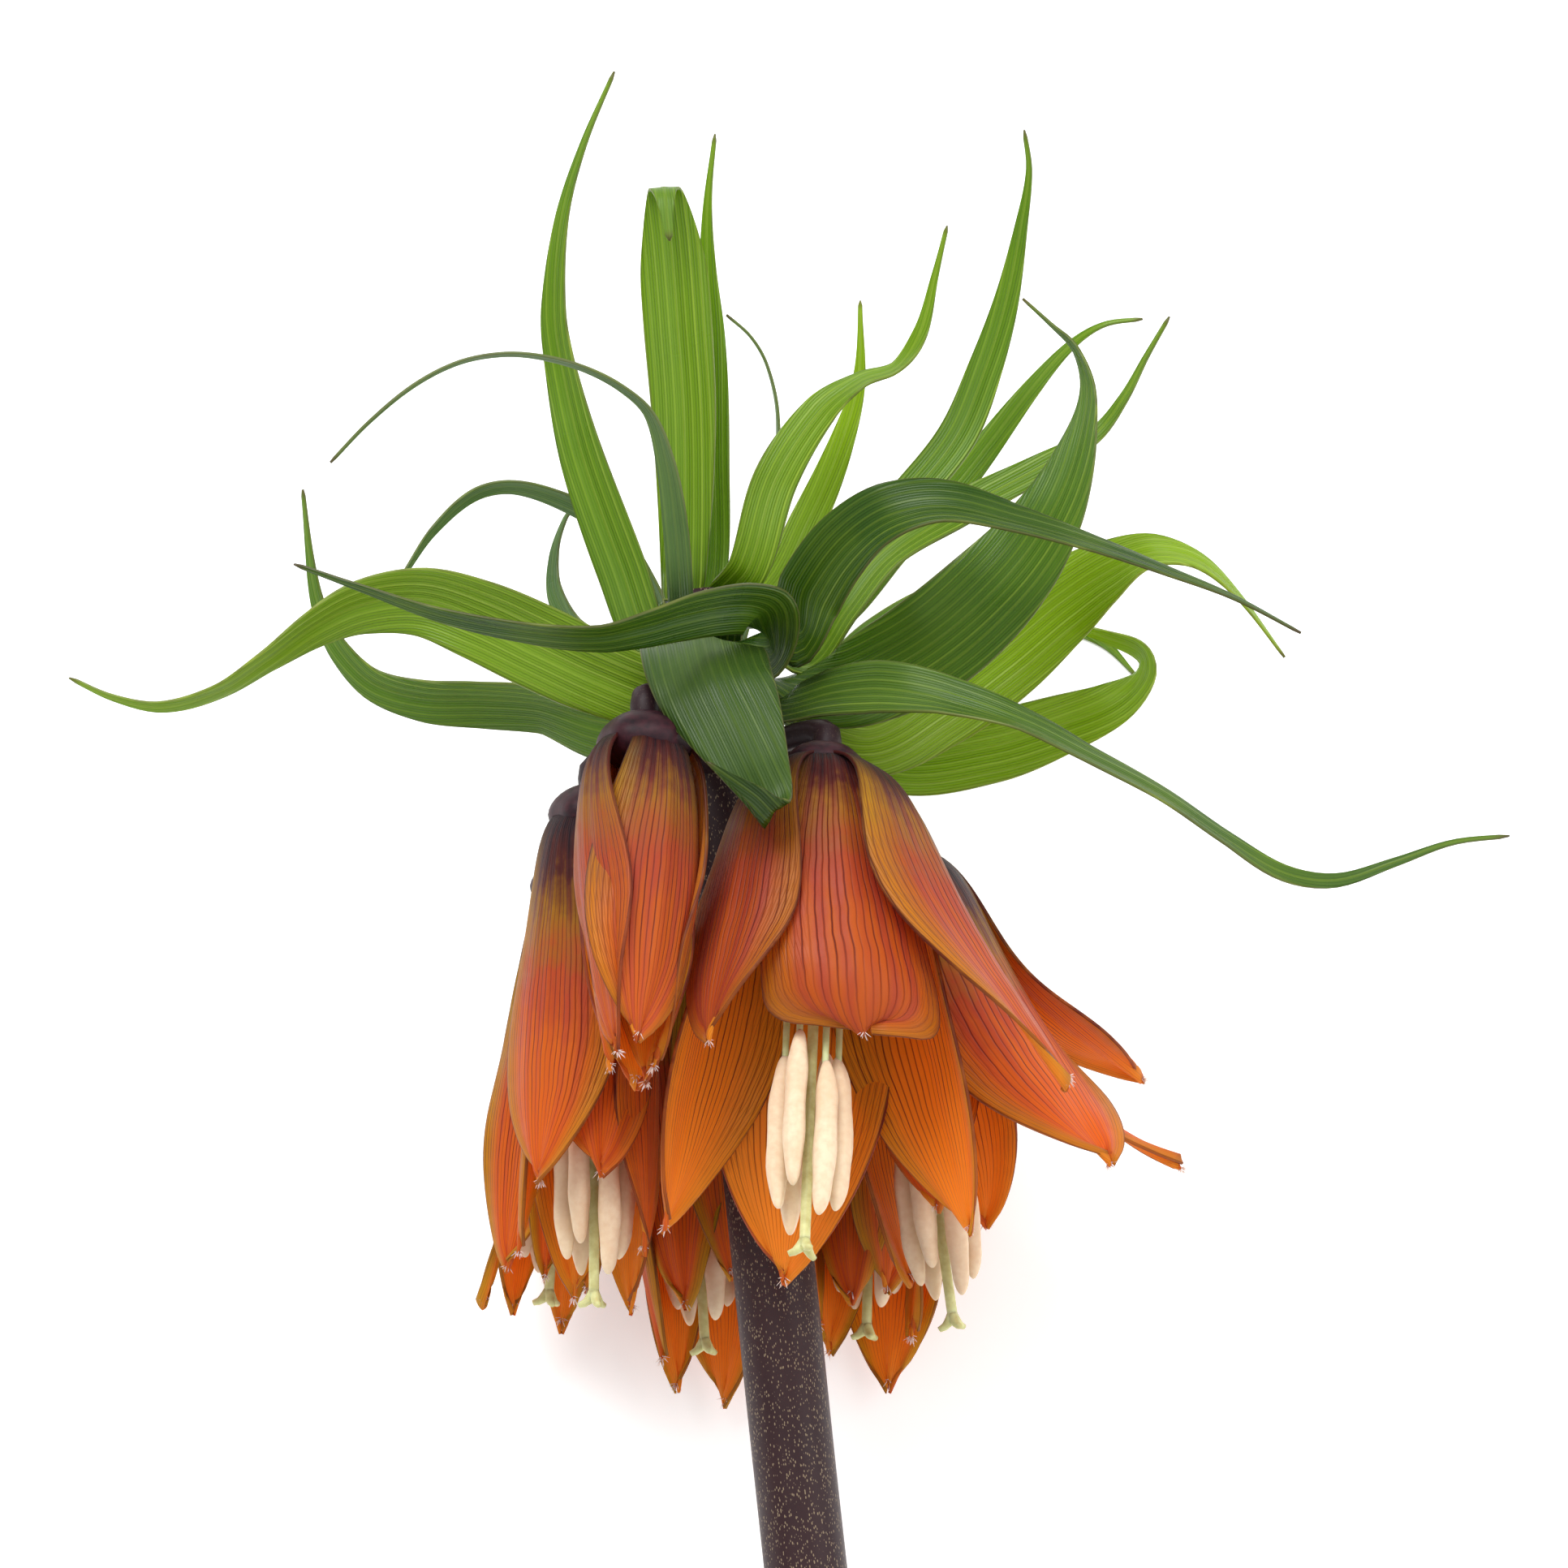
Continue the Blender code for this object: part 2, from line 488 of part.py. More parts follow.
def build_tepal(name, bell, number, material, home):
    angle, tip, curl, wide, *end = bell["tepals"][number]
    widest, tip_half = end or (TEPAL_WIDEST, TEPAL_TIP_HALF_WIDTH)
    top, axis, front, right = bell_frame(bell)
    inner = number % 2
    face = math.radians(angle)
    outward = front * math.cos(face) + right * math.sin(face)
    sideways = right * math.cos(face) - front * math.sin(face)
    radius, depth = tepal_profile(bell, curl, 1.0)
    shift = seen(*tip) - (top + axis * depth + outward * radius)
    laid = lying()

    def place(across, along):
        radius, depth = tepal_profile(bell, curl, along)
        drift = shift * along**1.7
        radius -= inner * INNER_TEPAL_STEP * min(1.0, along * 5) * (1.0 - along**4)
        half = tepal_half_width(bell["half"] * wide, along, widest, tip_half)
        reach = radius + max(0.0, drift.dot(outward))
        bend = max(reach * (1.0 if inner else 1.15), half * 0.75, 3.5)
        turned = across * half / bend
        out = radius - bend + bend * math.cos(turned)
        aside = bend * math.sin(turned)
        spot = top + axis * depth + outward * out + sideways * aside + drift
        return laid @ above_surface(spot, TEPAL_THICKNESS * 0.5)

    return solid_sheet(name, TEPAL_COLUMNS, TEPAL_ROWS, place, TEPAL_THICKNESS, material, home)


def tapered(name, start, end, start_radius, end_radius, sides, material, home):
    """A closed cone or cylinder between two points of the view frame."""
    mesh = bpy.data.meshes.new(name)
    form = bmesh.new()
    length = (end - start).length
    bmesh.ops.create_cone(form, cap_ends=True, segments=sides, radius1=start_radius,
                          radius2=end_radius, depth=length)
    turn = (end - start).to_track_quat("Z", "Y").to_matrix().to_4x4()
    middle = Matrix.Translation((start + end) / 2)
    bmesh.ops.transform(form, matrix=lying() @ middle @ turn, verts=form.verts)
    form.to_mesh(mesh)
    form.free()
    made = bpy.data.objects.new(name, mesh)
    mesh.materials.append(material)
    home.objects.link(made)
    return made


def capsule(name, start, end, radius, sides, material, home):
    """A long rounded body between two points of the view frame."""
    mesh = bpy.data.meshes.new(name)
    form = bmesh.new()
    bmesh.ops.create_uvsphere(form, u_segments=sides, v_segments=4, radius=1.0)
    length = (end - start).length
    stretch = Matrix.Diagonal((radius, radius, length / 2, 1.0))
    turn = (end - start).to_track_quat("Z", "Y").to_matrix().to_4x4()
    middle = Matrix.Translation((start + end) / 2)
    bmesh.ops.transform(form, matrix=lying() @ middle @ turn @ stretch, verts=form.verts)
    form.to_mesh(mesh)
    form.free()
    made = bpy.data.objects.new(name, mesh)
    mesh.materials.append(material)
    home.objects.link(made)
    return made


def join_all(body, others, name):
    """One Boolean union of body with everything in the collection others."""
    union = body.modifiers.new("union", "BOOLEAN")
    union.operation = "UNION"
    union.operand_type = "COLLECTION"
    union.collection = others
    union.solver = "EXACT"
    graph = bpy.context.evaluated_depsgraph_get()
    mesh = bpy.data.meshes.new_from_object(body.evaluated_get(graph))
    body.modifiers.clear()
    body.data = mesh
    body.name = name
    for item in list(others.objects):
        bpy.data.objects.remove(item)
    bpy.data.collections.remove(others)
    return body


def build_bell(name, bell, material, home):
    top, axis, _, _ = bell_frame(bell)
    pieces = collection_named("tepals of " + name)
    dome = tapered(name, top, top + axis * DOME_DEPTH, DOME_TOP_RADIUS, DOME_RADIUS,
                   DOME_SIDES, material, home)
    for number in range(len(bell["tepals"])):
        build_tepal(f"tepal {number}", bell, number, material, pieces)
    return join_all(dome, pieces, "bell_" + name)


def build_stamens(name, bell, material, home):
    """Ovary, style with a three-lobed stigma, and six stamens, below the dome."""
    top, axis, front, right = bell_frame(bell)
    foot = top + axis * (DOME_DEPTH + GAP)
    pieces = collection_named("stamens of " + name)
    ovary = tapered(name, foot, foot + axis * OVARY_DEPTH, OVARY_RADIUS, STYLE_RADIUS + 0.4,
                    8, material, home)
    style_end = top + axis * bell["reach"]
    tapered("style", foot + axis * OVARY_DEPTH * 0.5, style_end, STYLE_RADIUS, STYLE_RADIUS,
            6, material, pieces)
    tapered("stigma", style_end - axis * 3.0, style_end + axis * 0.8, STYLE_RADIUS * 0.8,
            STIGMA_RADIUS, 6, material, pieces)
    long = bell["reach"] * ANTHER_SHARE
    for number in range(6):
        face = math.radians(60 * number + 30)
        outward = front * math.cos(face) + right * math.sin(face)
        below = bell["reach"] - ANTHER_ABOVE_STIGMA - 1.6 * (number % 3)
        end = top + axis * below + outward * ANTHER_RING
        start = end - axis * long
        capsule("anther", start, end, ANTHER_RADIUS, 5, material, pieces)
        root = foot + axis * 1.2 + outward * OVARY_RADIUS * 0.45
        tapered("filament", root, start + axis * 3.0, FILAMENT_RADIUS, FILAMENT_RADIUS,
                4, material, pieces)
    return join_all(ovary, pieces, "stamens_" + name)


def pedicel_path(bell):
    """From inside the stem out, over, and straight down into the dome."""
    top, axis, _, _ = bell_frame(bell)
    start = stem_axis(FLOWER_WHORL_Y)
    away = top - start
    away = away - STEM_DIRECTION * away.dot(STEM_DIRECTION)
    outward = away.normalized()
    end = top - axis * GAP * 3
    over = end - axis * 3.2
    points = [start + outward * 1.5, start + outward * (STEM_RADIUS + 1.5) + STEM_DIRECTION * 0.6,
              over, end]
    return points


def build_pedicel(bell, material, home):
    points = pedicel_path(bell)
    curve = bpy.data.curves.new("pedicel", "CURVE")
    curve.dimensions = "3D"
    curve.bevel_depth = PEDICEL_RADIUS * MM
    curve.bevel_resolution = 1
    curve.use_fill_caps = True
    spline = curve.splines.new("POLY")
    steps = 6
    spline.points.add(steps)
    laid = lying()
    for k in range(steps + 1):
        spot = laid @ smooth_path(points, k / steps)[0]
        spline.points[k].co = (*spot, 1.0)
    guide = bpy.data.objects.new("pedicel", curve)
    home.objects.link(guide)
    graph = bpy.context.evaluated_depsgraph_get()
    mesh = bpy.data.meshes.new_from_object(guide.evaluated_get(graph))
    form = bmesh.new()
    form.from_mesh(mesh)
    bmesh.ops.remove_doubles(form, verts=form.verts, dist=0.01 * MM)
    form.to_mesh(mesh)
    form.free()
    tube = bpy.data.objects.new("pedicel tube", mesh)
    tube.matrix_world = guide.matrix_world
    home.objects.link(tube)
    bpy.data.objects.remove(guide)
    mesh.materials.append(material)
    return tube


def build_stem(material, home):
    pieces = collection_named("stem pieces")
    stem = tapered("stem", stem_axis(STEM_CUT_Y), stem_axis(FLOWER_WHORL_Y), STEM_RADIUS,
                   STEM_RADIUS, STEM_SIDES, material, home)
    tapered("apex", stem_axis(FLOWER_WHORL_Y - 1.0), stem_axis(APEX_Y), STEM_RADIUS,
            APEX_RADIUS, STEM_SIDES - 2, material, pieces)
    for bell in BELLS.values():
        build_pedicel(bell, material, pieces)
    return join_all(stem, pieces, "stem")


def main():
    clear_scene()
    home = collection_named("crown imperial")
    materials = {name: make_material(name) for name in COLOURS}
    build_stem(materials["stem"], home)
    for name, bell in BELLS.items():
        build_bell(name, bell, materials["petal"], home)
        build_stamens(name, bell, materials["stamen"], home)
    for name, leaf in LEAVES.items():
        build_leaf(name, leaf, materials["leaf"], home)


main()
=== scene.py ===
import math
import random

import bmesh
import bpy
from mathutils import Matrix, Vector, noise


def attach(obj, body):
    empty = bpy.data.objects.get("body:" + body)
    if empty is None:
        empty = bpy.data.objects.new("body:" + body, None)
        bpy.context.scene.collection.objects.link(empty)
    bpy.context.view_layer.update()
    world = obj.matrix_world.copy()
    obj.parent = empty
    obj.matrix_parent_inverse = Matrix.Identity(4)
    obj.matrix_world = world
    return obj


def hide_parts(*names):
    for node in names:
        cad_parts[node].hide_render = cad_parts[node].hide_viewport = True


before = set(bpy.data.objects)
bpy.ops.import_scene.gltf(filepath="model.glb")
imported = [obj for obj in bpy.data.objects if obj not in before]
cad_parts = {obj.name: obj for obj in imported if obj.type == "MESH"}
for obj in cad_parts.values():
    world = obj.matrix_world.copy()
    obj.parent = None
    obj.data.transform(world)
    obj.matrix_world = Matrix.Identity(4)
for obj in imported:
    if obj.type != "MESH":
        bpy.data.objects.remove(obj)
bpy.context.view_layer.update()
print("frame loaded")

# Points are in millimetres in the flower's view frame: x to the viewer's right,
# y towards the crown, z towards the viewer. layDown turns it onto the surface.
view = {
    "distance": 900.0,
    "frameWidth": 193.2,
    "layAngle": math.radians(24.0),
    "restHeight": 54.8,
    "centreShift": (-0.26, 43.64),
}

stemShape = {
    "middle": Vector((-3.65, -38.0, 0.0)),
    "direction": Vector((-0.1067, 0.9791, -0.1736)).normalized(),
    "radius": 5.15,
    "cutY": -178.2,
    "whorlY": 2.0,
    "apexY": 24.0,
    "apexRadius": 2.4,
    "pedicelRadius": 1.7,
    "sides": 64,
    "rows": 190,
}

leafShape = {
    "tiers": (6.5, 10.0, 13.5, 17.0, 20.5),
    "gap": 0.3,
    "cadThickness": 0.8,
    "thickness": 0.34,
    "tipShare": 0.55,
    "roundFrom": 0.985,
    "trough": 0.18,
    "keel": 0.10,
    "ripple": 0.06,
    "rows": 84,
    "columns": 12,
    "baseHalfWidth": 2.1,
}

# Each leaf: angle of its root round the stem (0 faces the viewer, 90 is to the
# right), tier, half width, and stations of x, y, z and roll, or of x, y, z and
# the direction across the blade. Roll 0 shows the full width, 90 the edge. Where
# they aren't the usual ones, a leaf has its half width at the root as base, and at
# the tip as tip, before tipShare.
leaves = {
    "leaf_tall_left": dict(angle=-80, tier=4, half=3.2, widest=0.25, path=[
        (-16.6, 17.6, -10, 0), (-20.1, 26.6, -12, 10), (-25.1, 40.6, -14, 20),
        (-27.6, 51.6, -16, 35), (-28.4, 58.6, -16, 35), (-27.4, 69.6, -15, 40),
        (-24.8, 78.6, -14, 40), (-20.9, 87.8, -13, 40)]),
    "leaf_upright_folded": dict(angle=-145, tier=4, half=4.3, widest=0.65, base=2.3, tip=0.9, path=[
        (-12.4, 25.6, -15.5, 1, 0, 0), (-12.2, 36.6, -16, 1, 0, 0), (-12.4, 46.6, -16, 1, 0, 0),
        (-13.1, 56.6, -16, 1, 0, 0), (-13.9, 66.6, -16, 1, 0.1, 0),
        (-14.6, 72.3, -15, 1, 0.1, 0), (-14.8, 73.4, -12.6, 1, 0.05, 0),
        (-14.6, 72.0, -10.4, 1, 0, 0), (-14.1, 66.9, -9.4, 1, 0, 0)]),
    "leaf_upright_behind": dict(angle=-165, tier=2, half=1.9, widest=0.5, path=[
        (-8.6, 26.6, -22, 0), (-8.6, 40.0, -24, 0), (-8.8, 54.6, -25, 0), (-9.4, 63.6, -25, 10),
        (-9.4, 71.6, -24, 20), (-8.5, 80.1, -23, 30)]),
    "leaf_short_upright": dict(angle=-178, tier=3, half=2.3, widest=0.4, path=[
        (-1.6, 24.0, -18, 10), (3.0, 32.6, -21, 10), (6.9, 41.6, -22, 10), (9.2, 49.6, -22, 10),
        (9.4, 59.6, -21, 20)]),
    "leaf_curved_middle": dict(angle=150, tier=4, half=2.8, widest=0.3, path=[
        (-4.4, 26.6, -11, 0), (-1.0, 37.6, -12, 0), (4.4, 46.1, -13, 25), (9.4, 49.8, -13, 55),
        (13.9, 51.4, -13, 60), (16.8, 55.6, -13, 20), (18.6, 62.6, -13, 20),
        (20.1, 68.8, -12, 30)]),
    "leaf_thin_arch": dict(angle=-30, tier=3, half=1.6, widest=0.15, tip=0.35, path=[
        (-12.8, 24.1, 0, 0), (-13.4, 31.6, 3, 10), (-14.6, 39.6, 5, 40), (-16.6, 45.6, 6, 68),
        (-20.1, 48.8, 7, 76), (-24.6, 51.1, 8, 78), (-29.6, 52.5, 9, 78), (-34.6, 52.9, 9, 78),
        (-40.1, 51.9, 9, 76), (-45.6, 49.1, 9, 72), (-51.1, 44.6, 9, 68), (-55.9, 39.6, 8, 65)]),
    "leaf_thin_curl": dict(angle=-176, tier=0, half=1.1, widest=0.3, tip=0.32, path=[
        (-3.6, 24.6, -26, 60), (-1.1, 36.6, -30, 70), (-0.8, 45.6, -31, 78),
        (-2.1, 51.6, -31, 78), (-4.1, 55.1, -30, 78), (-7.1, 57.8, -29, 75)]),
    "leaf_tall_right": dict(angle=85, tier=4, half=2.5, widest=0.5, path=[
        (3.4, 21.8, -11.5, 20), (9.4, 29.6, -15, 20), (15.9, 36.1, -17, 15),
        (21.4, 43.1, -19, 10), (24.9, 51.6, -20, 10), (27.4, 59.6, -20, 10),
        (29.2, 68.6, -19, 15), (30.2, 75.6, -18, 25), (29.6, 80.6, -17, 40)]),
    "leaf_right_behind": dict(angle=125, tier=3, half=2.1, widest=0.5, path=[
        (5.4, 20.0, -22, 10), (14.4, 30.0, -27, 10), (21.4, 37.1, -29, 10),
        (30.4, 48.6, -30, 10), (35.4, 54.1, -30, 15), (39.4, 56.6, -29, 40),
        (44.2, 57.3, -28, 50)]),
    "leaf_arch_right": dict(angle=40, tier=3, half=4.4, widest=0.28, path=[
        (1.4, 18.4, 5, 10), (3.0, 23.2, 9, 14), (7.0, 29.2, 13, 20), (12.4, 33.4, 16, 30),
        (19.6, 34.8, 17, 45), (29.0, 32.6, 17, 57), (38.4, 29.6, 16, 62), (47.4, 26.2, 15, 62),
        (55.4, 23.0, 14, 65), (63.7, 18.6, 13, 70)]),
    "leaf_under_arch": dict(angle=90, tier=2, half=2.8, widest=0.35, path=[
        (3.0, 15.4, -8, 40), (7.4, 21.6, -6.5, 45), (12.6, 28.2, -8, 45), (21.0, 33.6, -11, 30),
        (31.8, 39.2, -13, 20), (38.4, 43.1, -14, 30), (41.9, 47.6, -14, 35),
        (44.6, 52.6, -14, 40), (47.5, 57.6, -13, 40)]),
    "leaf_wide_right": dict(angle=68, tier=1, half=6.3, widest=0.34, tip=0.35, path=[
        (6.6, 11.8, -1.5, 10), (13.4, 14.4, 0, 0), (19.4, 18.2, 2, 0), (25.2, 23.4, 3, 5),
        (29.8, 28.8, 3, 15), (33.4, 34.8, 3, 25), (36.0, 41.4, 2, 40), (37.4, 48.4, 0, 60),
        (35.9, 53.6, -2, 72), (32.9, 56.6, -4, 76), (29.4, 59.8, -5, 78)]),
    "leaf_bright_right": dict(angle=92, tier=0, half=6.2, widest=0.38, path=[
        (10.4, 5.8, -11, 10), (18.4, 10.0, -13, 0), (26.8, 16.2, -13, 0), (33.6, 22.0, -12, 5),
        (39.6, 26.2, -10, 25), (45.2, 28.6, -8, 46), (50.8, 27.6, -7, 60), (55.6, 23.6, -6, 68),
        (61.7, 15.6, -5, 72)]),
    "leaf_loop_right": dict(angle=115, tier=1, half=4.8, widest=0.35, path=[
        (13.4, 3.6, -17, 10), (25.4, 4.6, -19, 0), (34.4, 7.4, -20, 0), (40.6, 10.0, -20, 15),
        (44.0, 13.2, -22, 45), (44.0, 16.2, -25, 55), (39.4, 18.2, -28, 35),
        (34.0, 19.8, -29, 25), (30.0, 21.2, -29, 20)]),
    "leaf_long_right": dict(angle=42, tier=0, half=3.6, widest=0.18, path=[
        (0.4, 9.9, 3.1, 50), (5.4, 11.4, 7.8, 40), (10.4, 12.0, 12, 25), (14.8, 11.8, 15, 30),
        (19.9, 10.9, 17, 45), (29.4, 7.9, 20, 66), (37.4, 3.9, 20, 70), (46.4, -1.0, 19, 68),
        (54.4, -6.6, 18, 62), (61.4, -10.9, 17, 40), (67.9, -11.9, 16, 15), (75.4, -9.6, 15, 20),
        (82.4, -7.2, 14, 30), (89.4, -6.4, 13, 40)]),
    "leaf_front_sweep": dict(angle=15, tier=2, half=3.8, widest=0.33, path=[
        (-2.0, 16.0, 8.5, 20), (-1.8, 19.2, 14, 18), (-2.4, 21.0, 20, 25), (-6.0, 21.4, 26, 40),
        (-11.4, 20.5, 31, 44), (-17.0, 19.0, 34.5, 50), (-23.0, 17.9, 36.5, 57),
        (-32.0, 18.7, 37, 57), (-42.6, 20.9, 36, 50), (-52.0, 24.1, 34, 45),
        (-60.4, 27.1, 32, 40)]),
    "leaf_front_droop": dict(angle=-12, tier=0, half=7.6, widest=0.44, tip=0.5, path=[
        (-9.4, 12.8, 8, 1, 0, 0), (-10.0, 15.8, 14, 1, 0, 0), (-10.0, 16.0, 20.5, 1, 0, 0),
        (-8.8, 12.6, 26.5, 1, 0.08, 0), (-6.2, 7.6, 30.0, 1, 0.2, 0),
        (-3.7, 2.6, 32.5, 0.9, 0.4, 0), (-1.7, -1.8, 33.6, 0.75, 0.65, 0),
        (-1.3, -3.6, 35.2, 0.62, 0.78, 0), (-3.6, -1.4, 36.8, 0.5, 0.87, 0),
        (-9.6, 2.8, 37.2, 0.45, 0.9, 0)]),
    "leaf_wide_left": dict(angle=-60, tier=1, half=5.2, widest=0.28, path=[
        (-16.6, 10.9, 2, 10), (-23.6, 13.7, 4, 0), (-30.6, 17.0, 5, 0), (-37.6, 20.2, 6, 12),
        (-44.6, 22.4, 6, 25), (-51.6, 21.8, 7, 35), (-57.6, 19.1, 7, 50), (-63.6, 15.1, 8, 60),
        (-69.6, 11.4, 8, 60), (-76.6, 9.5, 8, 45), (-82.6, 10.6, 8, 40), (-88.1, 13.1, 7, 30)]),
    "leaf_low_left": dict(angle=-90, tier=0, half=4.9, widest=0.12, path=[
        (-16.6, 7.6, -7.5, 10), (-22.9, 7.4, -11, 20), (-30.6, 9.2, -14, 50),
        (-37.6, 9.8, -16, 45), (-44.6, 10.2, -17, 40), (-50.6, 12.1, -18, 40),
        (-54.6, 16.1, -18, 40), (-56.9, 20.6, -18, 40), (-58.1, 25.6, -17, 40),
        (-59.3, 36.3, -15, 45)]),
    "leaf_hook_left": dict(angle=-125, tier=2, half=2.3, widest=0.4, path=[
        (-14.0, 17.4, -21, 60), (-17.0, 24.6, -26, 58), (-21.6, 31.4, -29, 56),
        (-27.2, 34.8, -30, 58), (-33.4, 36.6, -30, 62), (-38.2, 35.6, -30, 58),
        (-43.0, 31.4, -29, 52), (-46.2, 26.8, -28, 50), (-48.6, 22.6, -27, 50)]),
    "leaf_short_left": dict(angle=-118, tier=1, half=2.4, widest=0.45, path=[
        (-19.6, 14.8, -22, 50), (-25.4, 18.4, -30, 48), (-28.2, 23.4, -34, 45),
        (-28.3, 28.4, -36, 48), (-27.0, 32.6, -37, 55), (-25.6, 34.6, -37, 60)]),
    "leaf_back_right": dict(angle=150, tier=0, half=4.6, widest=0.5, path=[
        (5.0, 11.0, -26, 10), (13.0, 17.0, -38, 10), (21.0, 21.0, -50, 10),
        (28.0, 21.5, -62, 10), (34.0, 18.5, -72, 10), (39.0, 14.0, -76, 10),
        (43.0, 8.0, -78, 10)]),
    "leaf_back_left": dict(angle=-138, tier=0, half=4.2, widest=0.5, path=[
        (-13.0, 8.8, -24, 10), (-16.0, 9.2, -37, 10), (-18.2, 5.0, -47, 10),
        (-19.4, -2.0, -54, 10), (-20.6, -10.0, -56, 10), (-21.4, -17.0, -54, 10),
        (-21.8, -23.0, -52, 10)]),
}

# How young and yellow each leaf is, which is partly its youth and partly painted backlit glow; how
# dark, which is partly its own deeper green and partly painted shade; and how much painted silvery
# sheen it has.
leafTones = {
    "leaf_tall_left": (0.45, 0.2, 0.0),
    "leaf_upright_folded": (0.6, 0.15, 0.0),
    "leaf_upright_behind": (0.55, 0.1, 0.0),
    "leaf_short_upright": (1.0, 0.0, 0.0),
    "leaf_curved_middle": (0.65, 0.1, 0.0),
    "leaf_thin_arch": (0.2, 0.35, 0.5),
    "leaf_thin_curl": (0.2, 0.1, 0.5),
    "leaf_tall_right": (0.4, 0.2, 0.0),
    "leaf_right_behind": (0.5, 0.1, 0.0),
    "leaf_arch_right": (0.1, 0.74, 0.0),
    "leaf_under_arch": (0.5, 0.25, 0.0),
    "leaf_wide_right": (0.25, 0.38, 0.05),
    "leaf_bright_right": (1.0, 0.0, 0.0),
    "leaf_loop_right": (1.0, 0.0, 0.0),
    "leaf_long_right": (0.3, 0.55, 0.1),
    "leaf_front_sweep": (0.1, 0.72, 0.0),
    "leaf_front_droop": (0.0, 1.0, 0.0),
    "leaf_wide_left": (0.75, 0.1, 0.05),
    "leaf_low_left": (0.35, 0.25, 0.05),
    "leaf_hook_left": (0.15, 0.3, 0.3),
    "leaf_short_left": (0.05, 0.4, 0.3),
    "leaf_back_right": (0.4, 0.2, 0.0),
    "leaf_back_left": (0.35, 0.2, 0.0),
}

tepalShape = {
    "rootRadius": 1.6,
    "rootDepth": 1.1,
    "widest": 0.6,
    "tipHalfWidth": 0.6,
    "shoulderAngle": 80.0,
    "opening": 5.0,
    "innerStep": 1.5,
    "roundFrom": 0.95,
    "ripple": 0.75,
    "folds": 0.16,
    "frill": 0.9,
    "midrib": 0.35,
    "clearance": 0.35,
    "thickness": 0.42,
    "rows": 54,
    "columns": 24,
    "steps": 80,
}

domeShape = {"radius": 5.6, "depth": 4.2, "rise": 0.95, "fall": 0.8, "sides": 36}

hairShape = {"perTip": 16, "length": (0.0004, 0.0011), "footRadius": 0.00007, "endRadius": 0.00002}

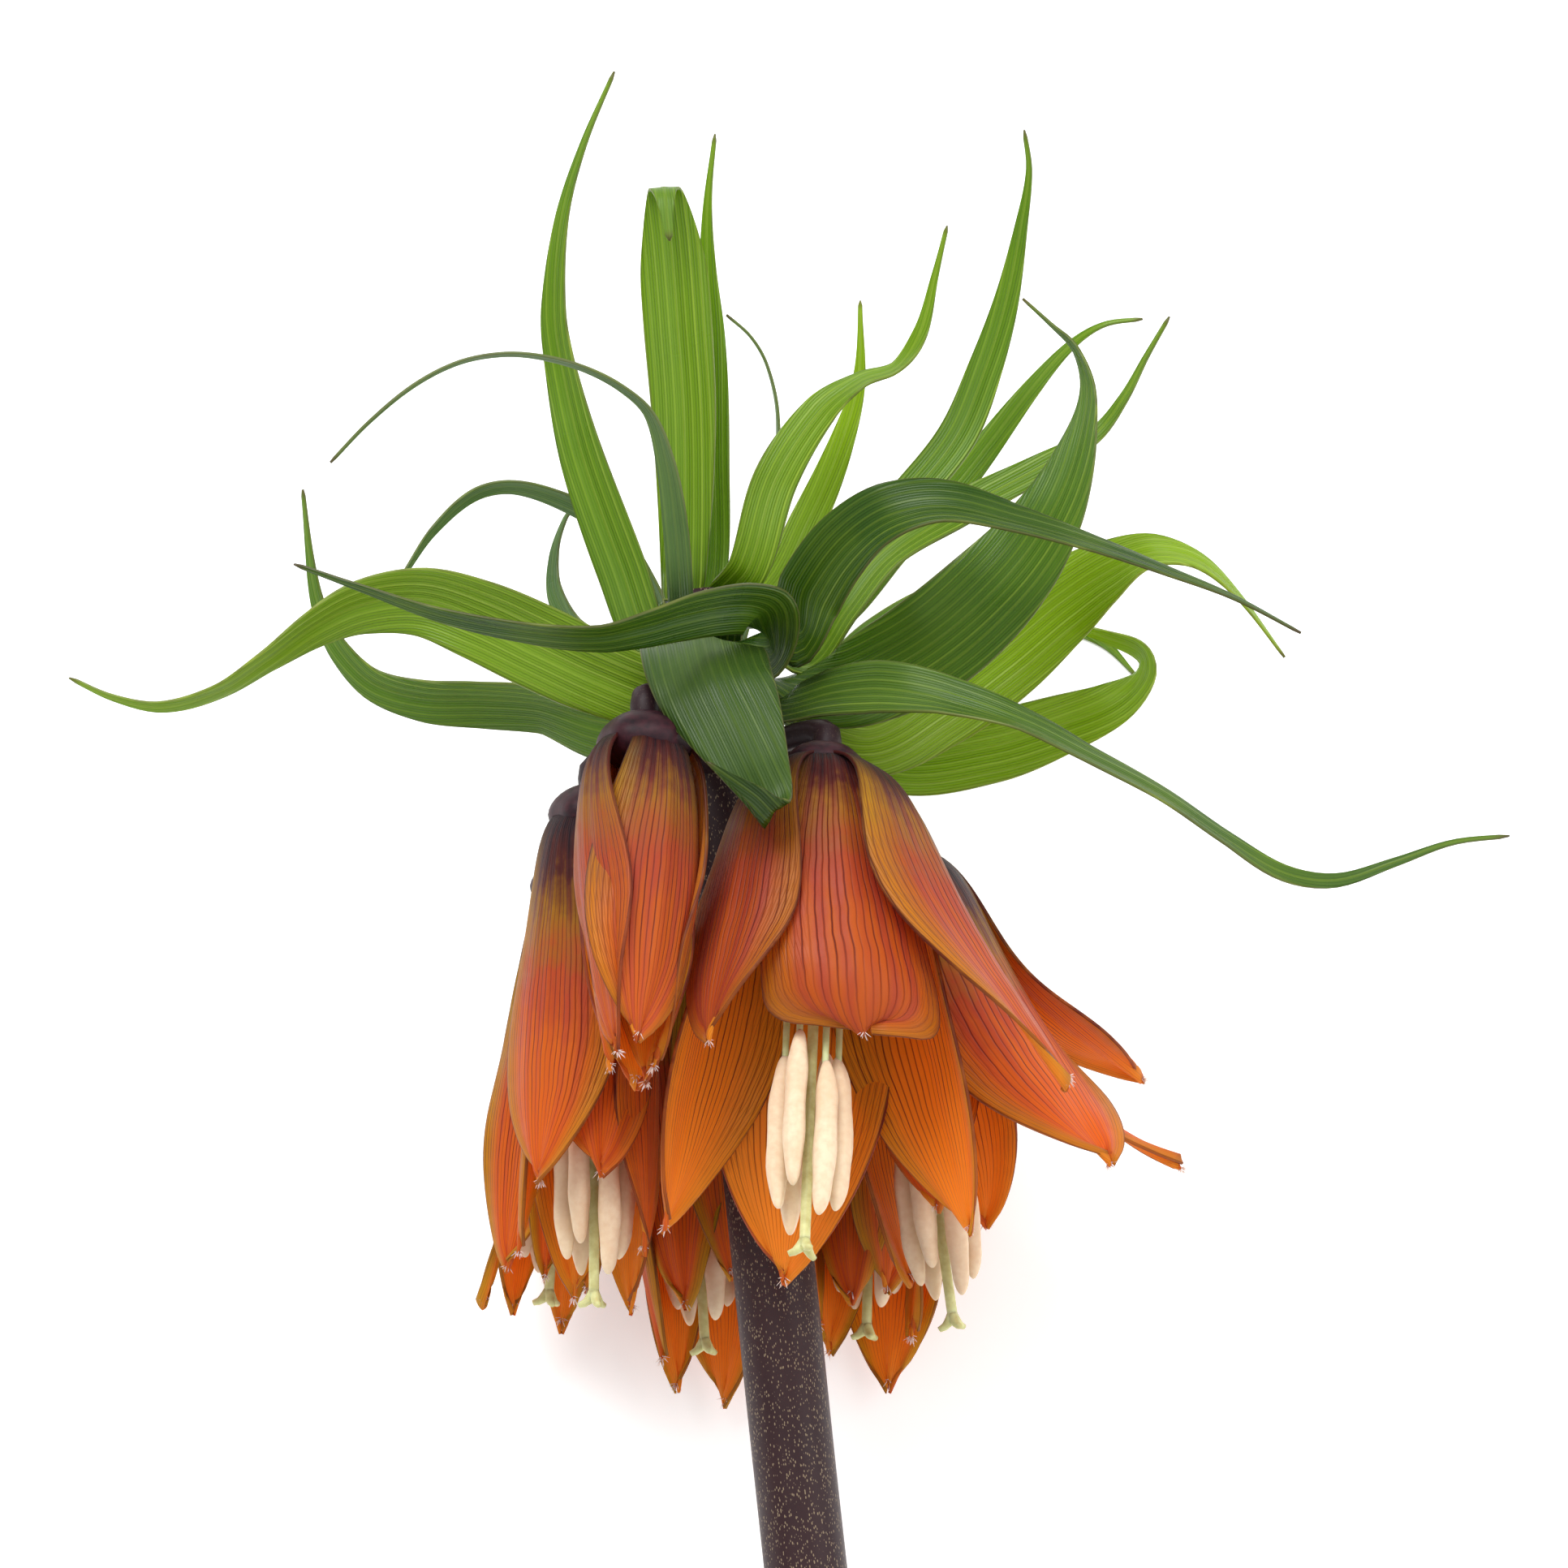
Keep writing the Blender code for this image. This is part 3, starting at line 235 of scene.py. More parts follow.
# Each bell: the top of its dome, a point on its axis at the mouth, the tepals'
# length, half width and swelling of the shoulder, and six tepals, of which every
# second one is set inside the others: angle round the axis, where its tip is
# seen, degrees of curl at the tip, and a factor for its width. A tepal that ends
# broad also has the share of its length where it is widest, and the half width
# of its end. The stigma hangs at the reach below the top.
bells = {
    "front": dict(
        top=(4.9, 3.2, 12), mouth=(3.0, -45.0, 38),
        length=56, half=12.2, shoulder=0.155, reach=66,
        tepals=[(-46, (-9.3, -31.2, 37), -14, 0.72), (9, (9.8, -30.2, 38), -44, 1.04, 0.86, 5.0),
                (58, (34.9, -36.9, 33), -10, 1.05), (122, (22.9, -54.9, 28), -6, 1.0),
                (180, (0.0, -60.9, 20), -6, 0.95), (-120, (-14.6, -54.4, 26), -6, 0.86)],
    ),
    "front_left": dict(
        top=(-17.0, 7.4, 25), mouth=(-18.6, -34.0, 39),
        length=42, half=7.4, shoulder=0.145, reach=35,
        tepals=[(-64, (-20.6, -32.2, 41), -8, 0.9), (30, (-18.0, -31.0, 42.5), -10, 1.2),
                (105, (-16.0, -34.0, 37.5), -8, 0.65), (150, (-17.0, -36.2, 36.8), -8, 0.8),
                (-162, (-18.1, -36.9, 34), -8, 0.95), (-112, (-21.4, -34.6, 36), -8, 0.7)],
    ),
    "right": dict(
        top=(12.6, -7.0, -4), mouth=(20.0, -60.0, 2),
        length=58, half=10.6, shoulder=0.105, reach=60,
        tepals=[(48, (40.1, -46.2, 13), -6, 1.3), (76, (48.7, -46.7, 0), 25, 0.85),
                (122, (44.0, -36.0, -12), -6, 0.7), (178, (24.9, -54.0, -10), -6, 0.9),
                (-122, (15.4, -61.2, -2), -6, 0.9), (-38, (19.0, -52.0, 9), -6, 0.9)],
    ),
    "left": dict(
        top=(-23.2, -1.2, 3), mouth=(-23.4, -58.0, 8),
        length=56, half=8.6, shoulder=0.085, reach=62,
        tepals=[(-38, (-30.1, -48.4, 15), -6, 1.05), (20, (-22.6, -47.6, 15), -8, 1.0),
                (76, (-17.3, -57.4, 9), -6, 0.9), (130, (-18.8, -64.6, 1), -6, 0.85),
                (-172, (-26.0, -62.6, -2), -6, 0.85), (-106, (-32.6, -57.0, 3), -6, 0.8)],
    ),
    "far_left": dict(
        top=(-25.4, -10.4, -17), mouth=(-28.8, -60.0, -15),
        length=54, half=6.6, shoulder=0.075, reach=54,
        tepals=[(-22, (-34.1, -59.4, -8), -6, 1.0), (-84, (-37.1, -63.9, -14), 4, 0.75),
                (-142, (-33.4, -64.6, -20), -6, 1.0), (158, (-27.4, -66.9, -21), -6, 1.0),
                (98, (-24.2, -62.0, -14), -6, 0.85), (38, (-29.4, -60.0, -6.5), -6, 0.95)],
    ),
    "back_left": dict(
        top=(-13.0, -14.0, -24), mouth=(-9.8, -68.0, -15),
        length=58, half=7.8, shoulder=0.11, reach=57,
        tepals=[(152, (-7.3, -76.1, -20), -6, 1.25), (-152, (-13.1, -74.2, -20), -6, 0.7),
                (-92, (-14.9, -69.9, -14), -6, 0.9), (-32, (-12.2, -64.0, -8), -6, 1.0),
                (30, (-6.6, -60.4, -8), -6, 0.9), (92, (-4.4, -66.0, -13), -6, 0.85)],
    ),
    "back_right": dict(
        top=(11.4, -14.0, -25), mouth=(10.2, -66.0, -18),
        length=57, half=7.8, shoulder=0.11, reach=55,
        tepals=[(150, (12.9, -74.2, -20), -6, 1.35), (94, (15.8, -67.4, -18), -6, 0.9),
                (32, (12.6, -62.0, -13), -6, 0.95), (-30, (8.4, -63.4, -13), -6, 0.95),
                (-90, (4.4, -66.0, -16), -6, 0.85), (-150, (5.6, -69.6, -20), -6, 0.95)],
    ),
}

stamenShape = {
    "antherShare": 0.31,
    "aboveStigma": 3.0,
    "stagger": 1.9,
    "ring": 3.2,
    "antherRadius": 1.5,
    "filamentRadius": 0.5,
    "styleRadius": 0.65,
    "stigmaRadius": 1.9,
    "ovaryRadius": 2.1,
    "ovaryDepth": 8.0,
}


def seenAt(x, y, z):
    nearer = 1.0 - z / view["distance"]
    return Vector((x * nearer, y * nearer, z))


def layDown():
    shift = Vector((*view["centreShift"], view["restHeight"])) * 0.001
    turn = Matrix.Rotation(view["layAngle"], 4, "X")
    return Matrix.Translation(shift) @ turn @ Matrix.Scale(0.001, 4)


laid = layDown()


def aboveSurface(point, clearance):
    # a point under the surface is lifted straight up onto it
    up = Vector((0.0, math.sin(view["layAngle"]), math.cos(view["layAngle"])))
    height = point.dot(up) + view["restHeight"]
    return point + up * max(0.0, clearance - height)


def stemAxis(y):
    along = (y - stemShape["middle"].y) / stemShape["direction"].y
    return stemShape["middle"] + stemShape["direction"] * along


def stemRadiusAt(y):
    share = (y - stemShape["whorlY"]) / (stemShape["apexY"] - stemShape["whorlY"])
    share = min(1.0, max(0.0, share))
    return stemShape["radius"] + (stemShape["apexRadius"] - stemShape["radius"]) * share


def roundStem(angle):
    direction = stemShape["direction"]
    front = Vector((0, 0, 1))
    front = (front - direction * front.dot(direction)).normalized()
    right = direction.cross(front)
    turned = math.radians(angle)
    outward = front * math.cos(turned) + right * math.sin(turned)
    sideways = right * math.cos(turned) - front * math.sin(turned)
    return outward, sideways


def knotsOf(points):
    knots = [0.0]
    for first, second in zip(points, points[1:]):
        knots.append(knots[-1] + (second - first).length)
    return knots


def smoothPath(points, knots, share):
    where = share * knots[-1]
    k = 0
    while k < len(points) - 2 and knots[k + 1] < where:
        k += 1
    low, high = max(0, k - 1), min(len(points) - 1, k + 2)
    span = knots[k + 1] - knots[k]
    u = (where - knots[k]) / span
    start = (points[k + 1] - points[low]) / (knots[k + 1] - knots[low]) * span
    end = (points[high] - points[k]) / (knots[high] - knots[k]) * span
    a, b = points[k], points[k + 1]
    point = (a * (2 * u**3 - 3 * u**2 + 1) + start * (u**3 - 2 * u**2 + u)
             + b * (3 * u**2 - 2 * u**3) + end * (u**3 - u**2))
    slope = (a * (6 * u**2 - 6 * u) + start * (3 * u**2 - 4 * u + 1)
             + b * (6 * u - 6 * u**2) + end * (3 * u**2 - 2 * u))
    return point, slope.normalized()


def between(values, shares, at):
    k = 0
    while k < len(shares) - 2 and shares[k + 1] < at:
        k += 1
    u = (at - shares[k]) / (shares[k + 1] - shares[k])
    u = min(1.0, max(0.0, u))
    return values[k] * (1 - u) + values[k + 1] * u


def putInto(tree, socket, value):
    # an output is linked, and a number, a vector or a colour is set
    if isinstance(value, bpy.types.NodeSocket):
        tree.links.new(value, socket)
    elif socket.type == "RGBA":
        socket.default_value = (*value, 1.0)
    else:
        socket.default_value = value


def setInputs(tree, node, **inputs):
    # an underscore stands for the space in a socket's name
    for name, value in inputs.items():
        putInto(tree, node.inputs[name.replace("_", " ")], value)


def addNode(tree, kind, place, **inputs):
    node = tree.nodes.new(kind)
    node.location = (place[0] * 190, place[1] * 170)
    setInputs(tree, node, **inputs)
    return node


def mathNode(tree, operation, place, *values):
    node = addNode(tree, "ShaderNodeMath", place)
    node.operation = operation
    for socket, value in zip(node.inputs, values):
        putInto(tree, socket, value)
    return node.outputs[0]


def blendColour(tree, place, amount, first, second):
    node = addNode(tree, "ShaderNodeMix", place)
    node.data_type = "RGBA"
    node.clamp_factor = True
    for number, value in ((0, amount), (6, first), (7, second)):
        putInto(tree, node.inputs[number], value)
    return node.outputs[2]


def rampNode(tree, place, factor, stops):
    node = addNode(tree, "ShaderNodeValToRGB", place, Fac=factor)
    ramp = node.color_ramp
    while len(ramp.elements) < len(stops):
        ramp.elements.new(0.5)
    for element, (position, colour) in zip(ramp.elements, stops):
        element.position = position
        element.color = (*colour, 1.0)
    return node.outputs[0]


def rangeNode(tree, place, value, low, high, toLow=0.0, toHigh=1.0):
    node = addNode(tree, "ShaderNodeMapRange", place, Value=value, From_Min=low, From_Max=high,
                   To_Min=toLow, To_Max=toHigh)
    node.interpolation_type = "SMOOTHSTEP"
    return node.outputs[0]


def addBump(tree, shader, place, height, strength, distance):
    bump = addNode(tree, "ShaderNodeBump", place, Height=height, Strength=strength,
                   Distance=distance)
    setInputs(tree, shader, Normal=bump.outputs[0])
    return bump


def makeVeinGroup():
    # fine lines that run along a blade, each with its own strength
    group = bpy.data.node_groups.new("veins along a blade", "ShaderNodeTree")
    sockets = {"Across": None, "Wobble Place": None, "Count": 20.0, "Wobble": 0.3,
               "Wobble Scale": 8.0, "Width": 0.35}
    for name, value in sockets.items():
        kind = "NodeSocketVector" if name == "Wobble Place" else "NodeSocketFloat"
        socket = group.interface.new_socket(name, in_out="INPUT", socket_type=kind)
        if value is not None:
            socket.default_value = value
    group.interface.new_socket("Lines", in_out="OUTPUT", socket_type="NodeSocketFloat")
    given = addNode(group, "NodeGroupInput", (-8, 0)).outputs
    wobble = addNode(group, "ShaderNodeTexNoise", (-6, -1), Vector=given["Wobble Place"],
                     Scale=given["Wobble Scale"], Detail=2.0)
    centred = mathNode(group, "SUBTRACT", (-5, -1), wobble.outputs[0], 0.5)
    swung = mathNode(group, "MULTIPLY", (-4, -1), centred, given["Wobble"])
    counted = mathNode(group, "MULTIPLY", (-5, 1), given["Across"], given["Count"])
    moved = mathNode(group, "ADD", (-3, 0), counted, swung)
    line = mathNode(group, "PINGPONG", (-2, 0), moved, 0.5)
    near = mathNode(group, "MULTIPLY", (-1, 0), line, 2.0)
    narrow = rangeNode(group, (0, 0), near, given["Width"], 0.0)
    which = mathNode(group, "ROUND", (-2, 2), moved)
    own = addNode(group, "ShaderNodeTexWhiteNoise", (-1, 2))
    own.noise_dimensions = "1D"
    setInputs(group, own, W=which)
    strength = mathNode(group, "MULTIPLY_ADD", (0, 2), own.outputs[0], 0.6, 0.4)
    lines = mathNode(group, "MULTIPLY", (2, 0), narrow, strength)
    addNode(group, "NodeGroupOutput", (4, 0), Lines=lines)
    return group


veinGroup = makeVeinGroup()


def useVeins(tree, place, across, wobblePlace, values):
    node = addNode(tree, "ShaderNodeGroup", place)
    node.node_tree = veinGroup
    names = ("Count", "Wobble", "Wobble Scale", "Width")
    for name, value in (("Across", across), ("Wobble Place", wobblePlace), *zip(names, values)):
        putInto(tree, node.inputs[name], value)
    return node.outputs["Lines"]


def newMaterial(name):
    material = bpy.data.materials.new(name)
    material.use_nodes = True
    tree = material.node_tree
    return material, tree, tree.nodes["Principled BSDF"]


def uvParts(tree, name, place):
    node = addNode(tree, "ShaderNodeUVMap", place)
    node.uv_map = name
    beside = (place[0] + 1, place[1])
    parts = addNode(tree, "ShaderNodeSeparateXYZ", beside, Vector=node.outputs[0])
    return node.outputs[0], parts.outputs[0], parts.outputs[1]


def toneParts(tree, place):
    node = addNode(tree, "ShaderNodeAttribute", place)
    node.attribute_name = "tone"
    beside = (place[0] + 1, place[1])
    parts = addNode(tree, "ShaderNodeSeparateColor", beside, Color=node.outputs["Color"])
    return parts.outputs[:3]


def objectNoise(tree, place, **inputs):
    coords = addNode(tree, "ShaderNodeTexCoord", (place[0] - 1, place[1]))
    grain = addNode(tree, "ShaderNodeTexNoise", place, Vector=coords.outputs["Object"], **inputs)
    return grain.outputs[0]


def offCentreOf(tree, place, acrossShare):
    # how far from the midrib, 0.5 at the edge of the blade
    signed = mathNode(tree, "SUBTRACT", place, acrossShare, 0.5)
    return mathNode(tree, "ABSOLUTE", (place[0] + 1, place[1]), signed)


def letLightThrough(tree, shader, colour, amount):
    through = addNode(tree, "ShaderNodeBsdfTranslucent", (5, -4), Color=colour)
    both = addNode(tree, "ShaderNodeMixShader", (7, 0), Fac=amount)
    tree.links.new(shader.outputs[0], both.inputs[1])
    tree.links.new(through.outputs[0], both.inputs[2])
    setInputs(tree, tree.nodes["Material Output"], Surface=both.outputs[0])


# Veins and stripes are a count, a wobble, the wobble's scale and a width.
leafFinish = {
    # dark green, for the veins and for painted shade on the darker leaves and at the roots
    "dark": (0.011, 0.044, 0.003),
    "green": (0.085, 0.262, 0.010),
    # yellow green of young leaves, also used as painted backlit glow
    "youngAndBacklit": (0.330, 0.520, 0.008),
    # painted silvery sheen
    "paintedSheen": (0.230, 0.300, 0.200),
    "stripe": (0.500, 0.680, 0.070),
    "margin": (0.330, 0.230, 0.110),
    "brown": (0.130, 0.060, 0.035),
    "under": (0.130, 0.250, 0.045),
    "underShare": 0.4,
    "veins": (30.0, 0.2, 0.5, 0.7),
    "veinDepth": 0.36,
    "stripes": (9.0, 0.25, 0.4, 0.45),
    "patchScale": 0.6,
    "roughness": 0.30,
    "specular": 0.42,
    "through": 0.44,
}


def leafMaterial(name, underside):
    material, tree, shader = newMaterial(name)
    centimetres, acrossCm, _ = uvParts(tree, "centimetres", (-9, 2))
    _, acrossShare, alongShare = uvParts(tree, "share", (-9, 0))
    youngAndBacklit, dark, paintedSheen = toneParts(tree, (-9, -2))
    veins = useVeins(tree, (-6, 3), acrossCm, centimetres, leafFinish["veins"])
    stripes = useVeins(tree, (-6, 5), acrossCm, centimetres, leafFinish["stripes"])
    patches = addNode(tree, "ShaderNodeTexNoise", (-6, 1), Vector=centimetres,
                      Scale=leafFinish["patchScale"], Detail=4.0).outputs[0]
    # painted backlit glow: the pale stripes are stronger on the leaves with a high first tone
    lit = mathNode(tree, "MULTIPLY_ADD", (-4, 5), youngAndBacklit, 0.80, 0.20)
    offCentre = offCentreOf(tree, (-5, -5), acrossShare)
    beneath = [(leafFinish["underShare"], "under")] if underside else []
    layers = [
        # the second tone darkens a blade, partly its own deeper green and partly painted shade
        (dark, "dark"),
        (rangeNode(tree, (-4, 2), patches, 0.35, 0.7, 0.0, 0.16), "youngAndBacklit"),
        # painted shade: each blade darkens towards its root at the stem
        (rangeNode(tree, (-4, -3), alongShare, 0.02, 0.20, 0.55, 0.0), "dark"),
        (mathNode(tree, "MULTIPLY", (-3, 5), stripes, lit), "stripe"),
        (mathNode(tree, "MULTIPLY", (-3, 3), veins, leafFinish["veinDepth"]), "dark"),
        # painted sheen: a silvery grey green by the third tone
        (mathNode(tree, "MULTIPLY", (-3, -4), paintedSheen, 0.7), "paintedSheen"),
        *beneath,
        (rangeNode(tree, (-3, -5), offCentre, 0.482, 0.499, 0.0, 0.3), "margin"),
        (rangeNode(tree, (-3, -6), alongShare, 0.975, 0.998, 0.0, 0.6), "brown"),
    ]
    # the base runs from green to yellow green by the first tone, partly the leaf's youth and partly
    # painted backlit glow
    base = blendColour(tree, (-4, 0), youngAndBacklit, leafFinish["green"], leafFinish["youngAndBacklit"])
    for count, (amount, colour) in enumerate(layers):
        base = blendColour(tree, (count - 3, 0), amount, base, leafFinish[colour])
    rougher = 0.22 if underside else 0.12
    rough = rangeNode(tree, (1, 4), patches, 0.3, 0.75, leafFinish["roughness"] - 0.06,
                      leafFinish["roughness"] + rougher)
    setInputs(tree, shader, Base_Color=base, Roughness=rough,
              Specular_IOR_Level=leafFinish["specular"])
    ridge = mathNode(tree, "ADD", (1, 6), veins, stripes)
    addBump(tree, shader, (3, 6), ridge, 0.5, 0.00015)
    letLightThrough(tree, shader, base, leafFinish["through"])
    return material


tepalFinish = {
    "dome": (0.020, 0.006, 0.012),
    "plum": (0.120, 0.022, 0.016),
    "olive": (0.480, 0.215, 0.014),
    "coral": (0.660, 0.110, 0.026),
    "orange": (0.850, 0.190, 0.012),
    "pink": (0.600, 0.080, 0.055),
    "yellow": (0.700, 0.380, 0.014),
    "inside": (1.000, 0.350, 0.020),
    # deep red for the painted shade on the outer tepals of the nearest bells
    "deep": (0.330, 0.052, 0.016),
    "vein": (0.110, 0.006, 0.010),
    "outerBands": ((0.07, "dome"), (0.18, "plum"), (0.31, "olive"), (0.46, "coral"),
                   (0.66, "orange"), (1.0, "orange")),
    "innerBands": ((0.0, "olive"), (0.15, "inside"), (1.0, "inside")),
    "streaks": (9.0, 0.9, 0.8, 1.0),
    "veins": (25.0, 1.0, 1.1, 0.36),
    "sideVeins": (52.0, 1.5, 1.6, 0.30),
    "sideVeinSlant": 0.26,
    "patchScale": 1.8,
    "roughness": 0.44,
    "through": 0.48,
}


def tepalMaterial(name, inside):
    material, tree, shader = newMaterial(name)
    centimetres, _, _ = uvParts(tree, "centimetres", (-10, 2))
    _, acrossShare, alongShare = uvParts(tree, "share", (-10, 0))
    pink, margin, veining = toneParts(tree, (-10, -2))
    patches = addNode(tree, "ShaderNodeTexNoise", (-8, 3), Vector=centimetres,
                      Scale=tepalFinish["patchScale"], Detail=4.0, Roughness=0.6).outputs[0]
    streaks = useVeins(tree, (-8, 5), acrossShare, centimetres, tepalFinish["streaks"])
    uneven = mathNode(tree, "SUBTRACT", (-7, 2), patches, 0.5)
    uneven = mathNode(tree, "MULTIPLY", (-6, 2), uneven, 0.26)
    streaked = mathNode(tree, "MULTIPLY", (-6, 3), streaks, -0.08)
    uneven = mathNode(tree, "ADD", (-5, 3), uneven, streaked)
    reach = mathNode(tree, "ADD", (-5, 2), alongShare, uneven)
    bands = tepalFinish["innerBands" if inside else "outerBands"]
    base = rampNode(tree, (-4, 1), reach, [(at, tepalFinish[colour]) for at, colour in bands])
    if not inside:
        faded = rangeNode(tree, (-4, -2), alongShare, 0.18, 0.42)
        rosy = mathNode(tree, "MULTIPLY", (-4, -1), pink, streaks)
        rosy = mathNode(tree, "MULTIPLY", (-3, -1), rosy, faded)
        base = blendColour(tree, (-2, 1), rosy, base, tepalFinish["pink"])
        # painted shade: by the first tone, the outer tepals that face the viewer on the nearest
        # bells blend to deep red
        shaded = rangeNode(tree, (-3, -3), pink, 0.30, 1.0, 0.0, 0.66)
        shaded = mathNode(tree, "MULTIPLY", (-2, -3), shaded, faded)
        base = blendColour(tree, (-2, 0), shaded, base, tepalFinish["deep"])
    offCentre = offCentreOf(tree, (-7, -4), acrossShare)
    # a gold edge by the second tone, partly the tepal's own yellow margin and partly painted
    # backlit glow on the bells at the back
    edge = rangeNode(tree, (-5, -4), offCentre, 0.26, 0.46)
    edge = mathNode(tree, "MULTIPLY", (-4, -4), edge, margin)
    notDome = rangeNode(tree, (-5, -5), alongShare, 0.08, 0.25)
    edge = mathNode(tree, "MULTIPLY", (-3, -4), edge, notDome)
    veins = useVeins(tree, (-8, 7), acrossShare, centimetres, tepalFinish["veins"])
    swept = mathNode(tree, "MULTIPLY", (-8, 9), alongShare, tepalFinish["sideVeinSlant"])
    slanted = mathNode(tree, "ADD", (-7, 9), offCentre, swept)
    sideVeins = useVeins(tree, (-6, 9), slanted, centimetres, tepalFinish["sideVeins"])
    sideOnly = rangeNode(tree, (-5, 8), offCentre, 0.16, 0.40, 0.0, 0.75)
    sideVeins = mathNode(tree, "MULTIPLY", (-4, 9), sideVeins, sideOnly)
    allVeins = mathNode(tree, "MAXIMUM", (-3, 8), veins, sideVeins)
    lessAtTip = rangeNode(tree, (-4, 6), alongShare, 0.70, 1.0, 1.0, 0.3)
    drawn = mathNode(tree, "MULTIPLY", (-2, 7), allVeins, lessAtTip)
    drawn = mathNode(tree, "MULTIPLY", (-1, 7), drawn, veining)
    rim = rangeNode(tree, (-4, -6), offCentre, 0.480, 0.499, 0.0, 0.45)
    for count, (amount, colour) in enumerate(((edge, "yellow"), (drawn, "vein"), (rim, "plum"))):
        base = blendColour(tree, (count - 1, 1), amount, base, tepalFinish[colour])
    rough = rangeNode(tree, (1, 4), patches, 0.3, 0.75, tepalFinish["roughness"] - 0.08,
                      tepalFinish["roughness"] + 0.12)
    setInputs(tree, shader, Base_Color=base, Roughness=rough, Specular_IOR_Level=0.3,
              Sheen_Weight=0.08, Sheen_Roughness=0.4)
    addBump(tree, shader, (3, 6), allVeins, 0.5, 0.0002).invert = True
    letLightThrough(tree, shader, base, tepalFinish["through"])
    return material


domeFinish = {
    "dark": (0.014, 0.004, 0.008),
    "light": (0.050, 0.010, 0.016),
    "grainScale": 900.0,
    "roughness": 0.5,
    "specular": 0.25,
}


def domeMaterial():
    material, tree, shader = newMaterial("bell dome")
    grain = objectNoise(tree, (-5, 0), Scale=domeFinish["grainScale"], Detail=3.0)
    base = rampNode(tree, (-3, 0), grain, (
        (0.3, domeFinish["dark"]), (0.75, domeFinish["light"])))
    setInputs(tree, shader, Base_Color=base, Roughness=domeFinish["roughness"],
              Specular_IOR_Level=domeFinish["specular"])
    addBump(tree, shader, (-1, -2), grain, 0.3, 0.0001)
    return material


stemFinish = {
    "dark": (0.018, 0.007, 0.010),
    "brown": (0.040, 0.014, 0.015),
    "stalk": (0.026, 0.009, 0.012),
    "fleck": (0.270, 0.200, 0.125),
    "fleckScale": 5000.0,
    "fleckStretch": 0.42,
    "pith": (0.420, 0.500, 0.230),
    "pithRim": (0.26, 0.32, 0.12),
    "roughness": 0.46,
    "specular": 0.26,
}


def stemMaterial(name, flecked):
    material, tree, shader = newMaterial(name)
    coords = addNode(tree, "ShaderNodeTexCoord", (-9, 0))
    along = (laid.to_3x3() @ stemShape["direction"]).normalized()
    upright = along.rotation_difference(Vector((0, 0, 1))).to_euler()
    turned = addNode(tree, "ShaderNodeMapping", (-8, 0), Vector=coords.outputs["Object"],
                     Rotation=upright)
    stretched = addNode(tree, "ShaderNodeMapping", (-7, 0), Vector=turned.outputs[0],
                        Scale=(1.0, 1.0, stemFinish["fleckStretch"])).outputs[0]
    flecks = addNode(tree, "ShaderNodeTexVoronoi", (-5, 1), Vector=stretched,
                     Scale=stemFinish["fleckScale"], Randomness=1.0)
    chance = addNode(tree, "ShaderNodeSeparateColor", (-4, 2), Color=flecks.outputs["Color"])
    broad = addNode(tree, "ShaderNodeTexNoise", (-5, -3), Vector=stretched, Scale=120.0,
                    Detail=4.0).outputs[0]
    size = rangeNode(tree, (-3, 2), chance.outputs[0], 0.15, 0.95, 0.0, 0.44)
    spot = mathNode(tree, "SUBTRACT", (-3, 0), size, flecks.outputs["Distance"])
    spot = rangeNode(tree, (-2, 0), spot, -0.02, 0.12, 0.0, 0.85 if flecked else 0.10)
    light = stemFinish["brown" if flecked else "stalk"]
    base = blendColour(tree, (-2, -2), broad, stemFinish["dark"], light)
    base = blendColour(tree, (-1, 0), spot, base, stemFinish["fleck"])
    rough = rangeNode(tree, (-1, -3), broad, 0.3, 0.7, stemFinish["roughness"] - 0.08,
                      stemFinish["roughness"] + 0.1)
    setInputs(tree, shader, Base_Color=base, Roughness=rough,
              Specular_IOR_Level=stemFinish["specular"])
    addBump(tree, shader, (0, -4), spot, 0.3, 0.0001)
    return material


def pithMaterial():
    material, tree, shader = newMaterial("cut stem")
    coords = addNode(tree, "ShaderNodeTexCoord", (-6, 0))
    cells = addNode(tree, "ShaderNodeTexVoronoi", (-5, 0), Vector=coords.outputs["Object"],
                    Scale=1500.0).outputs["Distance"]
    base = rampNode(tree, (-3, 0), cells, ((0.1, stemFinish["pith"]), (0.8, stemFinish["pithRim"])))
    setInputs(tree, shader, Base_Color=base, Roughness=0.55)
    addBump(tree, shader, (-1, -2), cells, 0.5, 0.0002)
    return material


# Each is a light colour, a shaded one, the scale of the grain and a roughness.
powders = {
    "anther": ((0.780, 0.620, 0.430), (0.700, 0.500, 0.320), 1100.0, 0.6),
    "filament": ((0.560, 0.620, 0.330), (0.42, 0.46, 0.20), 900.0, 0.5),
    "style": ((0.640, 0.640, 0.300), (0.46, 0.42, 0.16), 900.0, 0.5),
    "tip hairs": ((0.86, 0.72, 0.66), (0.70, 0.45, 0.38), 3000.0, 0.8),
}


def powderMaterial(name):
    light, shade, scale, rough = powders[name]
    material, tree, shader = newMaterial(name)
    grain = objectNoise(tree, (-5, 0), Scale=scale, Detail=4.0)
    broad = objectNoise(tree, (-5, -2), Scale=scale * 0.12, Detail=2.0)
    mixed = mathNode(tree, "MULTIPLY", (-4, -1), grain, broad)
    base = rampNode(tree, (-3, 0), mixed, ((0.12, shade), (0.36, light)))
    setInputs(tree, shader, Base_Color=base, Roughness=rough, Subsurface_Weight=0.25,
              Subsurface_Radius=(0.002, 0.0014, 0.0008), Subsurface_Scale=0.5)
    addBump(tree, shader, (-1, -2), grain, 0.15, 0.0001)
    return material


